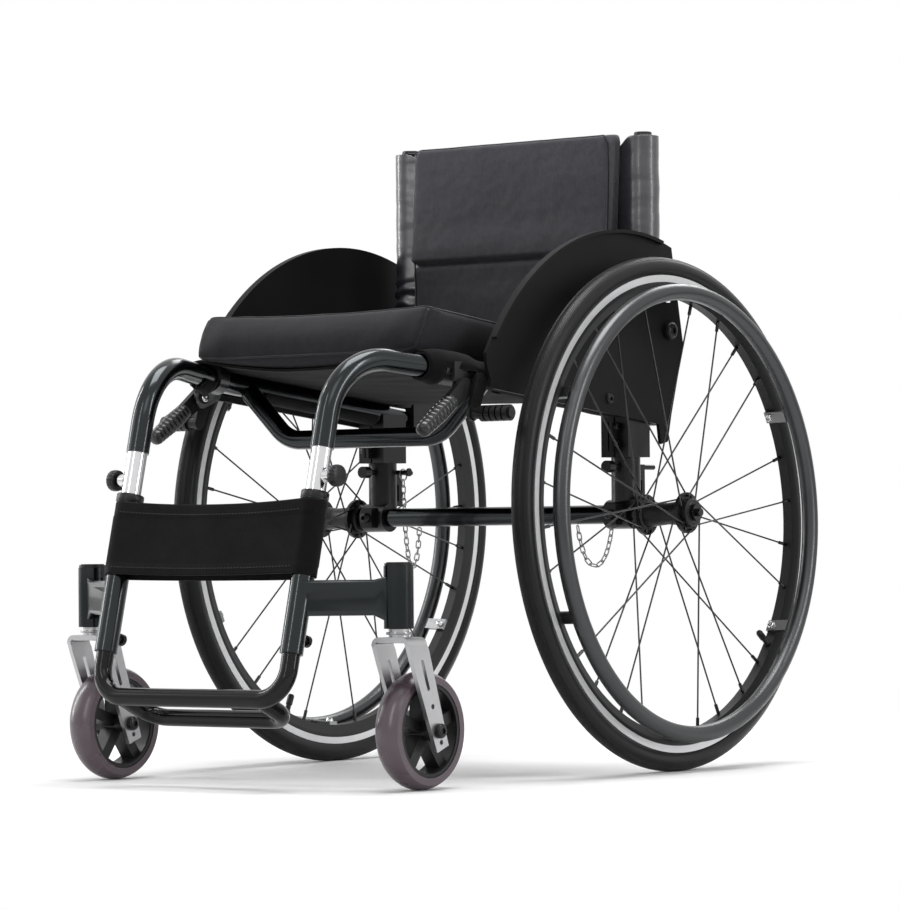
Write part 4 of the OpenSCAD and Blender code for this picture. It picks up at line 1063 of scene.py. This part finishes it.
class WHEELCHAIR_OT_calf_strap(bpy.types.Operator):
    """Loops the canvas calf strap round both front legs"""

    bl_idname = "wheelchair.calf_strap"
    bl_label = "Calf Strap"

    across = 150
    along = 40
    sag = 0.005
    hems = (0.010, 0.068)
    hem_rise = 0.0008
    thickness = 0.0022
    stitch_inset = 0.0022
    stitch_lift = 0.0012
    stitch_points = 61
    spare = 1.01
    waves = ((0.0011, 17.0, (1.0, 1.0, 1.4)),)
    waist = 0.0025
    hem_edge = 0.002

    def execute(self, context):
        shape = grid(self.across, self.along)
        move_all(shape, self.place)
        bmesh.ops.remove_doubles(shape, verts=shape.verts, dist=0.0001)
        piece = make_piece("calf_strap_cloth", shape, "front_carriage", "sling")
        thicken(piece, self.thickness)
        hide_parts("calf_strap")
        self.stitch()
        return {"FINISHED"}

    def stitch(self):
        """Rows of stitches along both hems of the front layer"""
        shape = bmesh.new()
        front = Vector((0.0, -cos(LEG_LEAN), sin(LEG_LEAN)))
        step = 2.0 * LEG_X / STRAP_LOOP / (self.stitch_points + 1)
        for level in (self.hems[0] - self.stitch_inset, self.hems[1] + self.stitch_inset):
            path = []
            for i in range(self.stitch_points):
                path.append(self.place((step * (i + 1), level / STRAP_H, 0.0)) + front * self.stitch_lift)
            stitch_row(shape, path, [front] * len(path))
        make_piece("calf_strap_stitches", shape, "front_carriage", "thread")

    def place(self, point):
        u, v, _ = point
        straight = 2.0 * LEG_X
        turn_l = pi * STRAP_R
        run = (u % 1.0) * 2.0 * (straight + turn_l)
        layer = -1.0 if run < straight + turn_l else 1.0
        run = run % (straight + turn_l)
        if run < straight:
            x = layer * (LEG_X - run)
            y = layer * STRAP_R
        else:
            turn = (run - straight) / STRAP_R
            x = layer * (-LEG_X - STRAP_R * sin(turn))
            y = layer * STRAP_R * cos(turn)
        slack = hump(x / LEG_X)
        level = v * STRAP_H
        y += slack * (creased((x, layer, level), self.waves) - layer * self.waist)
        low, high = self.hems
        flat = smooth_step(level, low, low + self.hem_edge)
        flat *= 1.0 - smooth_step(level, high - self.hem_edge, high)
        y += layer * self.hem_rise * (1.0 - flat)
        h = level - slack * self.sag * (0.35 + 0.65 * v)
        lean = Vector((0.0, sin(LEG_LEAN), cos(LEG_LEAN)))
        outward = Vector((0.0, cos(LEG_LEAN), -sin(LEG_LEAN)))
        return Vector((x, leg_y(STRAP_LOW_Z) + AXLE_Y, STRAP_LOW_Z)) + outward * y + lean * h


# Small hardware


HUB_X = abs(AXLE.x)
HUB_Z = AXLE.z
CAMBER = radians(1.5)
RIM_IN_R = 0.2515
TAB_R = 0.2472
TYRE_MID_R = 0.2825
TYRE_SECTION_R = 0.0125
GROUP_TURN = radians(-2.4)
CASTER_X = 0.2188
CASTER_Y = -0.4358
CASTER_Z = 0.0635
STEM_Y = -0.4708
OUTWARD = Vector((1.0, 0.0, 0.0))
COLUMN_X = 0.1797
GUARD_FACE = 0.205
PIVOT_Z = 0.509
CANE_TOP_Z = 0.738
KNOB_X = 0.1503
KNOB_Z = 0.336
SLEEVE_TOP_Z = 0.318


def pointing(origin, direction):
    """A place whose Z axis points along a direction"""
    return Matrix.Translation(origin) @ Vector(direction).to_track_quat("Z", "Y").to_matrix().to_4x4()


def join(shape, part, place):
    """Adds a part to a shape at a place"""
    bmesh.ops.transform(part, matrix=place, verts=part.verts)
    mesh = to_mesh("Part", part)
    shape.from_mesh(mesh)
    bpy.data.meshes.remove(mesh)


def turned(shape, profile, place, steps=24, rule=None, closed=False):
    """A form turned about the placed Z axis from points of radius and height; a rule may move its points"""
    if closed:
        profile = profile + profile[:1]
    made = bmesh.new()
    points = [made.verts.new((r, 0.0, h)) for r, h in profile]
    edges = [made.edges.new(pair) for pair in zip(points, points[1:])]
    bmesh.ops.spin(made, geom=points + edges, cent=(0.0, 0.0, 0.0), axis=(0.0, 0.0, 1.0), angle=tau,
                   steps=steps, use_merge=True)
    bmesh.ops.remove_doubles(made, verts=made.verts, dist=1e-6)
    if rule:
        move_all(made, rule)
    join(shape, made, place)


def bolt_head(shape, place, radius, height, socket=0.45):
    """A button head with a hexagonal socket, standing on the placed XY plane"""
    inner = radius * socket
    floor = height * 0.35
    flat = pi / 6.0
    profile = [(0.0, floor), (inner, floor), (inner, height), (radius * 0.72, height * 0.94),
               (radius * 0.93, height * 0.6), (radius, height * 0.15), (radius, 0.0), (0.0, 0.0)]

    def hexagon(point):
        r = Vector((point.x, point.y)).length
        if point.z < floor * 0.5 or abs(r - inner) > 1e-6:
            return point
        turn = atan2(point.y, point.x) % (2.0 * flat) - flat
        return Vector((point.x * cos(flat) / cos(turn), point.y * cos(flat) / cos(turn), point.z))

    turned(shape, profile, place, 24, hexagon)


def side_place(sign):
    """From a left-hand shape with the axle at y = 0 to its own side of the chair"""
    return Matrix.Translation((0.0, AXLE_Y, 0.0)) @ Matrix.Diagonal((sign, 1.0, 1.0, 1.0))


def on_both_sides(name, body, finish, build):
    """Builds a left-hand piece with the axle at y = 0, and its mirror on the right"""
    pieces = []
    for side, sign in SIDES.items():
        shape = bmesh.new()
        build(shape, side)
        bmesh.ops.transform(shape, matrix=side_place(sign), verts=shape.verts)
        pieces.append(make_piece(name + "_" + side, shape, body.format(side=side), finish))
    for piece in pieces:
        sharpen(piece)


def sharpen(piece, angle=radians(38.0)):
    """Keeps the edges of hardware crisp under smooth shading"""
    shape = bmesh.new()
    shape.from_mesh(piece.data)
    for edge in shape.edges:
        edge.smooth = not edge.is_manifold or edge.calc_face_angle(0.0) < angle
    shape.to_mesh(piece.data)
    shape.free()


def wheel_place():
    return Matrix.Translation((HUB_X, 0.0, HUB_Z)) @ Matrix.Rotation(-CAMBER, 4, "Y")


def axle_place():
    """A place at the left hub whose Z axis runs along the axle"""
    return wheel_place() @ Matrix.Rotation(pi / 2.0, 4, "Y")


def rim_spot(turn, radius):
    """A place on a left wheel that points in towards the hub"""
    outward = Vector((0.0, cos(turn), sin(turn)))
    return wheel_place() @ pointing(outward * radius, -outward)


class WHEELCHAIR_OT_wheel_trim(bpy.types.Operator):
    """Valves, hand rim bolts, tyre ribs and hub rings"""

    bl_idname = "wheelchair.wheel_trim"
    bl_label = "Wheel Trim"

    valve_turn = {"left": radians(-37.8), "right": radians(-111.6)}
    valve_sink = 0.0004
    tabs = 6
    bolt = (0.0046, 0.0042)
    rib_turns = [radians(a) for a in range(-40, 41, 10)]
    rib_section = ((-0.085, -0.0004), (-0.04, 0.00035), (0.04, 0.00035), (0.085, -0.0004))
    ring_faces = (-0.0405, 0.0352)
    ring_t = 0.0009

    def execute(self, context):
        on_both_sides("valve", "{side}_wheel", "plastic", self.valve)
        on_both_sides("handrim_bolts", "{side}_wheel", "steel", self.bolts)
        on_both_sides("tyre_ribs", "{side}_wheel", "tyre", self.ribs)
        on_both_sides("hub_rings", "{side}_wheel", "black", self.rings)
        return {"FINISHED"}

    def valve(self, shape, side):
        profile = [(0.0, 0.0), (0.0042, 0.0), (0.0042, 0.002), (0.0032, 0.003), (0.0032, 0.010),
                   (0.0040, 0.011), (0.0040, 0.021), (0.0030, 0.0232), (0.0, 0.0236)]
        turned(shape, profile, rim_spot(self.valve_turn[side], RIM_IN_R - self.valve_sink))

    def bolts(self, shape, side):
        for i in range(self.tabs):
            turn = GROUP_TURN + tau * (i + 0.5) / self.tabs
            bolt_head(shape, rim_spot(turn, TAB_R), *self.bolt)

    def ribs(self, shape, side):
        for turn in self.rib_turns:
            profile = []
            for away, rise in self.rib_section:
                r = TYRE_SECTION_R + rise
                profile.append((TYRE_MID_R + r * cos(turn + away), r * sin(turn + away)))
            turned(shape, profile, axle_place(), 180, closed=True)

    def rings(self, shape, side):
        for x in self.ring_faces:
            profile = [(0.0098, x), (0.0098, x + self.ring_t), (0.0128, x + self.ring_t), (0.0134, x)]
            turned(shape, profile, axle_place(), 40, closed=True)


class WHEELCHAIR_OT_caster_trim(bpy.types.Operator):
    """Axle bolts, hub rings and stem washers of the casters"""

    bl_idname = "wheelchair.caster_trim"
    bl_label = "Caster Trim"

    bolt = (0.0076, 0.003)
    bolt_reach = 0.029
    washer_z = 0.1665

    def execute(self, context):
        on_both_sides("caster_bolts", "{side}_fork", "black", self.bolts)
        on_both_sides("caster_rings", "{side}_caster", "plastic", self.rings)
        on_both_sides("stem_washers", "{side}_fork", "chain", self.washers)
        return {"FINISHED"}

    def face(self, way, reach=0.0):
        """A place on a caster's axle that points out of one of its sides"""
        return pointing((CASTER_X + way * reach, CASTER_Y, CASTER_Z), OUTWARD * way)

    def bolts(self, shape, side):
        for way in (1.0, -1.0):
            bolt_head(shape, self.face(way, self.bolt_reach), *self.bolt)

    def rings(self, shape, side):
        rim = [(0.0462, 0.0126), (0.0462, 0.0142), (0.0500, 0.0142), (0.0504, 0.0126)]
        boss = [(0.0086, 0.0194), (0.0112, 0.0194), (0.0122, 0.018), (0.0122, 0.0165), (0.0086, 0.0165)]
        for way in (1.0, -1.0):
            turned(shape, rim, self.face(way), 64, closed=True)
            turned(shape, boss, self.face(way), 40, closed=True)

    def washers(self, shape, side):
        place = Matrix.Translation((CASTER_X, STEM_Y, self.washer_z))
        profile = [(0.0108, 0.0), (0.0135, 0.0), (0.0139, 0.0007), (0.0139, 0.0021), (0.0135, 0.0028),
                   (0.0108, 0.0028)]
        turned(shape, profile, place, 40, closed=True)


class WHEELCHAIR_OT_frame_trim(bpy.types.Operator):
    """Knob caps, post collars, cane caps and the screws of guards and columns"""

    bl_idname = "wheelchair.frame_trim"
    bl_label = "Frame Trim"

    fluted_r = 0.0103
    flute_count = 18.0
    flute_depth = 0.045
    knob_gap = 0.0030
    collar_rise = 0.0012
    lug_drop = 0.0045
    lug_reach = 0.0152
    lug_screw = (0.0036, 0.0026)
    guard_screw = (0.0062, 0.0034)
    guard_screw_y = (-0.060, -0.200)
    pivot_bolt = (0.0095, 0.0032, 0.4)
    pivot_rise = 0.006
    column_screw = (0.0062, 0.0070)
    column_screw_y = -0.025
    bracket_screw = (0.0048, 0.0046)
    bracket_screw_y = -0.0200
    bracket_screw_z = (0.376, 0.396)
    bracket_reach = 0.005

    def execute(self, context):
        on_both_sides("knob_cap", "{side}_knob", "plastic", self.knob)
        on_both_sides("post_collar", "front_carriage", "plastic", self.collar)
        on_both_sides("cane_cap", "backrest", "plastic", self.cane_cap)
        on_both_sides("guard_screws", "frame", "black", self.guard_screws)
        on_both_sides("column_screws", "rear_axle", "black", self.column_screws)
        on_both_sides("bracket_screws", "frame", "black", self.bracket_screws)
        return {"FINISHED"}

    def knob(self, shape, side):
        profile = [(0.0, -0.0004), (0.0104, -0.0004), (0.0116, 0.0008), (0.0119, 0.003), (0.0119, 0.0072),
                   (0.0112, 0.0092), (0.0085, 0.0104), (0.0, 0.0110)]

        def flutes(point):
            r = Vector((point.x, point.y)).length
            if r < self.fluted_r:
                return point
            beat = 0.5 + 0.5 * cos(self.flute_count * atan2(point.y, point.x))
            wave = 1.0 - self.flute_depth * beat
            return Vector((point.x * wave, point.y * wave, point.z))

        place = pointing((KNOB_X + self.knob_gap, leg_y(KNOB_Z), KNOB_Z), OUTWARD)
        turned(shape, profile, place, 108, flutes)

    def collar(self, shape, side):
        down = Vector((0.0, -sin(LEG_LEAN), -cos(LEG_LEAN)))
        top = Vector((LEG_X, leg_y(SLEEVE_TOP_Z), SLEEVE_TOP_Z)) - down * self.collar_rise
        place = pointing(top, down)
        profile = [(0.0112, 0.0), (0.0146, 0.0), (0.0153, 0.0009), (0.0153, 0.0082), (0.0149, 0.0088),
                   (0.0112, 0.0088)]
        turned(shape, profile, place, 48, closed=True)
        lug = place @ Vector((0.0, 0.0, self.lug_drop)) + OUTWARD * self.lug_reach
        bolt_head(shape, pointing(lug, OUTWARD), *self.lug_screw)

    def cane_cap(self, shape, side):
        place = Matrix.Translation((CANE_X, CANE_BACK, CANE_TOP_Z))
        profile = [(0.0, 0.0002), (0.0114, 0.0002), (0.0116, 0.0016), (0.0106, 0.0024), (0.0104, 0.0046),
                   (0.0096, 0.0056), (0.0, 0.0060)]
        turned(shape, profile, place, 40)

    def guard_screws(self, shape, side):
        for y in self.guard_screw_y:
            bolt_head(shape, pointing((GUARD_FACE, y, rail_z(y)), OUTWARD), *self.guard_screw)
        pivot = pointing((GUARD_FACE + self.pivot_rise, CANE_BACK, PIVOT_Z), OUTWARD)
        bolt_head(shape, pivot, *self.pivot_bolt)

    def column_screws(self, shape, side):
        place = pointing((COLUMN_X, self.column_screw_y, HUB_Z), (0.0, -1.0, 0.0))
        bolt_head(shape, place, *self.column_screw)

    def bracket_screws(self, shape, side):
        for z in self.bracket_screw_z:
            place = pointing((COLUMN_X + self.bracket_reach, self.bracket_screw_y, z), OUTWARD)
            bolt_head(shape, place, *self.bracket_screw)


class WHEELCHAIR_OT_front_arms(bpy.types.Operator):
    """Rounds the long edges of the arms that carry the casters"""

    bl_idname = "wheelchair.front_arms"
    bl_label = "Front Arms"

    edge_r = 0.0052
    least_l = 0.012
    least_turn = radians(70.0)
    most_rise = 0.6
    crisp = radians(30.0)

    def execute(self, context):
        for side in SIDES:
            node = "front_leg_" + side
            shape = bmesh.new()
            shape.from_mesh(NODES[node].data)
            bmesh.ops.remove_doubles(shape, verts=shape.verts, dist=0.00001)
            bmesh.ops.dissolve_limit(shape, angle_limit=radians(1.0), verts=shape.verts, edges=shape.edges)
            long_edges = [e for e in shape.edges if self.runs_along_arm(e)]
            if len(long_edges) < 4:
                raise RuntimeError("the arm of " + node + " has lost its long edges")
            bmesh.ops.bevel(shape, geom=long_edges, offset=self.edge_r, affect="EDGES", segments=5,
                            profile=0.5, material=-1, clamp_overlap=False)
            bmesh.ops.triangulate(shape, faces=shape.faces)
            piece = make_piece(node + "_rounded", shape, "front_carriage", "frame")
            sharpen(piece, self.crisp)
            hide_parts(node)
        return {"FINISHED"}

    def runs_along_arm(self, edge):
        """True for a sharp edge that runs from the leg to the caster's housing, level or on the flare"""
        a, b = (v.co for v in edge.verts)
        if (b - a).length < self.least_l or abs((b - a).normalized().z) > self.most_rise:
            return False
        return edge.is_manifold and edge.calc_face_angle() > self.least_turn


class WHEELCHAIR_OT_chains(bpy.types.Operator):
    """Hangs the retaining chains, oval links in a catenary from each column's ring to the camber tube"""

    bl_idname = "wheelchair.chains"
    bl_label = "Chains"

    link_l = 0.0116
    link_w = 0.0068
    wire_r = 0.0008
    slack = 0.0006
    gap = 0.0003
    probe = 0.0005
    first_roll = radians(35.0)
    ring_r = 0.0070
    ring_wire_r = 0.0009
    ring_z = 0.3467
    start = Vector((0.1577, 0.020))
    way = Vector((-42.0, -22.0)).normalized()
    curve = 0.00775
    low_z = HUB_Z - 0.059
    tube_r = 0.0111

    def execute(self, context):
        shape = bmesh.new()
        for sign in SIDES.values():
            half = bmesh.new()
            self.hang_chain(half)
            join(shape, half, side_place(sign))
        piece = make_piece("retaining_chains", shape, "rear_axle", "chain")
        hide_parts("chains")
        return {"FINISHED"}

    def hang_chain(self, shape):
        hook = 2.0 * self.wire_r + self.ring_wire_r + self.gap
        first = -self.run_to(self.ring_z - self.ring_r - self.link_l / 2.0 + hook)
        last = self.run_to(HUB_Z - self.tube_r - self.link_l / 2.0 - self.gap)
        pitch = self.link_l - 4.0 * self.wire_r - self.slack
        count = round((last - first) / pitch)
        offset = self.curve * asinh(first / self.curve)
        for i in range(count + 1):
            s = first + (last - first) * i / count
            ahead = (self.hang(s + self.probe, offset) - self.hang(s - self.probe, offset)).normalized()
            flat = Vector((self.way.y, -self.way.x, 0.0))
            turn = self.first_roll + pi / 2.0 * (i % 2)
            across = flat * cos(turn) + ahead.cross(flat) * sin(turn)
            sweep(shape, self.oval(self.hang(s, offset), ahead, across), self.wire_r, closed=True, sides=6)
        middle = Vector((*self.start, self.ring_z))
        ring = [middle + self.ring_r * Vector((0.0, cos(tau * i / 24), sin(tau * i / 24))) for i in range(24)]
        sweep(shape, ring, self.ring_wire_r, closed=True, sides=6)

    def run_to(self, z):
        """The length of chain from its lowest point up to a height"""
        return self.curve * sinh(acosh((z - self.low_z) / self.curve + 1.0))

    def hang(self, s, offset):
        """The place at a length s along the chain, measured from its lowest point"""
        h = self.curve * asinh(s / self.curve)
        level = self.start + self.way * (h - offset)
        return Vector((*level, self.low_z - self.curve + self.curve * cosh(h / self.curve)))

    def oval(self, middle, ahead, across):
        """The middle line of a link: two half rounds and the straights between them"""
        r = self.link_w / 2.0 - self.wire_r
        straight = self.link_l / 2.0 - self.wire_r - r
        path = []
        for i in range(16):
            turn = tau * (i + 0.5) / 16
            end = straight if sin(turn) > 0.0 else -straight
            path.append(middle + across * (r * cos(turn)) + ahead * (r * sin(turn) + end))
        return path


class WHEELCHAIR_OT_brake_trim(bpy.types.Operator):
    """Rubber grips and rivets of the brakes"""

    bl_idname = "wheelchair.brake_trim"
    bl_label = "Brake Trim"

    lever_y = -0.318
    lever_fall = radians(32.5)
    lever_x = 0.1924
    pivot_drop = 0.021
    ribs = 8
    rib_start = 0.031
    rib_pitch = 0.0066
    rib_r = 0.0112
    rib_depth = 0.0011
    grip_squash = 0.94
    rib_taper = 0.0004
    rivet_reach = -0.0105
    rivet = (0.0050, 0.0022)

    def execute(self, context):
        on_both_sides("brake_grip", "{side}_brake_lever", "grip", self.grip)
        on_both_sides("brake_rivets", "frame", "steel", self.rivets)
        return {"FINISHED"}

    def pivot(self):
        return Vector((self.lever_x, self.lever_y, rail_z(self.lever_y) - self.pivot_drop))

    def grip(self, shape, side):
        away = Vector((0.0, -cos(self.lever_fall), -sin(self.lever_fall)))
        profile = [(0.0, 0.0270), (0.0080, 0.0272), (0.0096, 0.0290)]
        for i in range(self.ribs):
            start = self.rib_start + i * self.rib_pitch
            r = self.rib_r - self.rib_taper * abs(i - 3)
            low = r - self.rib_depth
            profile += [(low, start), (r, start + 0.0014), (r, start + 0.0042), (low, start + 0.0056)]
        profile += [(0.0094, 0.0860), (0.0080, 0.0900), (0.0046, 0.0922), (0.0, 0.0926)]

        def oval(point):
            return Vector((point.x, point.y * self.grip_squash, point.z))

        turned(shape, profile, pointing(self.pivot(), away), 28, oval)

    def rivets(self, shape, side):
        spot = self.pivot() + OUTWARD * self.rivet_reach
        bolt_head(shape, pointing(spot, -OUTWARD), *self.rivet)


# Studio


class WHEELCHAIR_OT_studio(bpy.types.Operator):
    """Sets the camera, the pale floor and the soft lights"""

    bl_idname = "wheelchair.studio"
    bl_label = "Studio"

    def execute(self, context):
        context.scene.view_settings.view_transform = "Standard"
        place_camera()
        make_floor()
        make_lights()
        make_world()
        return {"FINISHED"}


def place_camera():
    s = sizes()
    data = bpy.data.cameras.new("PhotoCamera")
    data.lens = s.lens
    data.sensor_width = 36.0
    camera = new_object("PhotoCamera", data)
    turn, pitch, roll = s.camera_turn, s.camera_pitch, s.camera_roll
    back = Vector((sin(turn) * cos(pitch), -cos(turn) * cos(pitch), -sin(pitch)))
    right = Vector((cos(turn), sin(turn), 0.0))
    up = back.cross(right)
    tilted = right * cos(roll) + up * sin(roll)
    upright = up * cos(roll) - right * sin(roll)
    place = Matrix((tilted, upright, back)).transposed().to_4x4()
    place.translation = Vector(s.camera_reach) + Vector((0.0, AXLE_Y, 0.0))
    camera.matrix_world = place
    bpy.context.scene.camera = camera


FLOOR_HALF = 30.0
FLOOR_GLOW = (0.75, 1.7)
WORLD_DIFFUSE = 0.18
LIGHT_AIM = Vector((0.0, 0.0, 0.4))


def make_floor():
    """A pale floor that takes shadows near the chair and glows white further off"""
    sheet = bmesh.new()
    bmesh.ops.create_grid(sheet, x_segments=1, y_segments=1, size=FLOOR_HALF)
    mesh = to_mesh("StudioFloor", sheet)
    floor = new_object("StudioFloor", mesh)
    material, tree, shader = new_material("PaleFloor", Roughness=0.9)
    shader.inputs["Base Color"].default_value = (*colours().floor, 1.0)
    glow = tree.nodes.new("ShaderNodeEmission")
    mix = tree.nodes.new("ShaderNodeMixShader")
    away = vector_node(tree, "LENGTH", object_place(tree))["Value"]
    far = map_range(tree, away, 0.0, 1.0, FLOOR_GLOW)
    seen = tree.nodes.new("ShaderNodeLightPath").outputs["Is Camera Ray"]
    tree.links.new(math_node(tree, "MULTIPLY", far, seen), mix.inputs["Fac"])
    tree.links.new(shader.outputs[0], mix.inputs[1])
    tree.links.new(glow.outputs[0], mix.inputs[2])
    tree.links.new(mix.outputs[0], tree.nodes["Material Output"].inputs["Surface"])
    mesh.materials.append(material)


LIGHTS = (
    ("KeySoftbox", (2.4, -2.2, 3.2), (1.6, 1.6), 14.0),
    ("FillSoftbox", (-3.2, -2.4, 1.8), (1.4, 1.4), 10.0),
    ("BackSoftbox", (-0.6, 3.0, 2.8), (1.6, 1.6), 40.0),
    ("TopSoftbox", (0.2, 0.2, 3.6), (2.0, 2.0), 105.0),
    ("FrontStrip", (0.2, -3.4, 2.0), (0.12, 2.6), 20.0),
    ("SideStrip", (3.6, 0.6, 1.6), (0.30, 2.6), 40.0),
    ("FarStrip", (-3.2, -0.8, 1.6), (0.36, 2.6), 52.0),
)


def make_lights():
    for name, place, (width, height), power in LIGHTS:
        data = bpy.data.lights.new(name, "AREA")
        data.shape = "RECTANGLE"
        data.size = width
        data.size_y = height
        data.energy = power
        lamp = new_object(name, data)
        lamp.location = place
        lamp.rotation_euler = (LIGHT_AIM - lamp.location).to_track_quat("-Z", "Y").to_euler()


def make_world():
    world = bpy.data.worlds.new("PaleStudio")
    bpy.context.scene.world = world
    world.use_nodes = True
    tree = world.node_tree
    background = tree.nodes["Background"]
    background.inputs["Color"].default_value = (1.0, 1.0, 1.0, 1.0)
    path = tree.nodes.new("ShaderNodeLightPath")
    seen = math_node(tree, "MAXIMUM", path.outputs["Is Camera Ray"], path.outputs["Is Glossy Ray"])
    seen = math_node(tree, "MAXIMUM", seen, path.outputs["Is Transmission Ray"])
    tree.links.new(map_range(tree, seen, WORLD_DIFFUSE, 1.0, (0.0, 1.0)), background.inputs["Strength"])


# Panel and registration


class WHEELCHAIR_PT_sidebar(bpy.types.Panel):
    """Lists the chair's operators, sizes and colours"""

    bl_label = "Wheelchair"
    bl_idname = "WHEELCHAIR_PT_sidebar"
    bl_space_type = "VIEW_3D"
    bl_region_type = "UI"
    bl_category = "Wheelchair"

    def draw(self, context):
        for operator in OPERATORS:
            self.layout.operator(operator.bl_idname)
        for group in (context.scene.wheelchair_sizes, context.scene.wheelchair_colours):
            for name in group.bl_rna.properties.keys():
                if name not in ("rna_type", "name"):
                    self.layout.prop(group, name)


OPERATORS = (WHEELCHAIR_OT_studio, WHEELCHAIR_OT_finishes, WHEELCHAIR_OT_cushion,
             WHEELCHAIR_OT_sling, WHEELCHAIR_OT_back_pad, WHEELCHAIR_OT_back_sling,
             WHEELCHAIR_OT_calf_strap, WHEELCHAIR_OT_wheel_trim, WHEELCHAIR_OT_caster_trim,
             WHEELCHAIR_OT_frame_trim, WHEELCHAIR_OT_front_arms, WHEELCHAIR_OT_chains,
             WHEELCHAIR_OT_brake_trim)
CLASSES = (WheelchairColours, WheelchairSizes, *OPERATORS, WHEELCHAIR_PT_sidebar)


def register():
    for cls in CLASSES:
        bpy.utils.register_class(cls)
    bpy.types.Scene.wheelchair_colours = bpy.props.PointerProperty(type=WheelchairColours)
    bpy.types.Scene.wheelchair_sizes = bpy.props.PointerProperty(type=WheelchairSizes)


def unregister():
    del bpy.types.Scene.wheelchair_sizes
    del bpy.types.Scene.wheelchair_colours
    for cls in reversed(CLASSES):
        bpy.utils.unregister_class(cls)


def main():
    register()
    for operator in OPERATORS:
        category, name = operator.bl_idname.split(".")
        getattr(getattr(bpy.ops, category), name)()


if __name__ == "__main__":
    main()
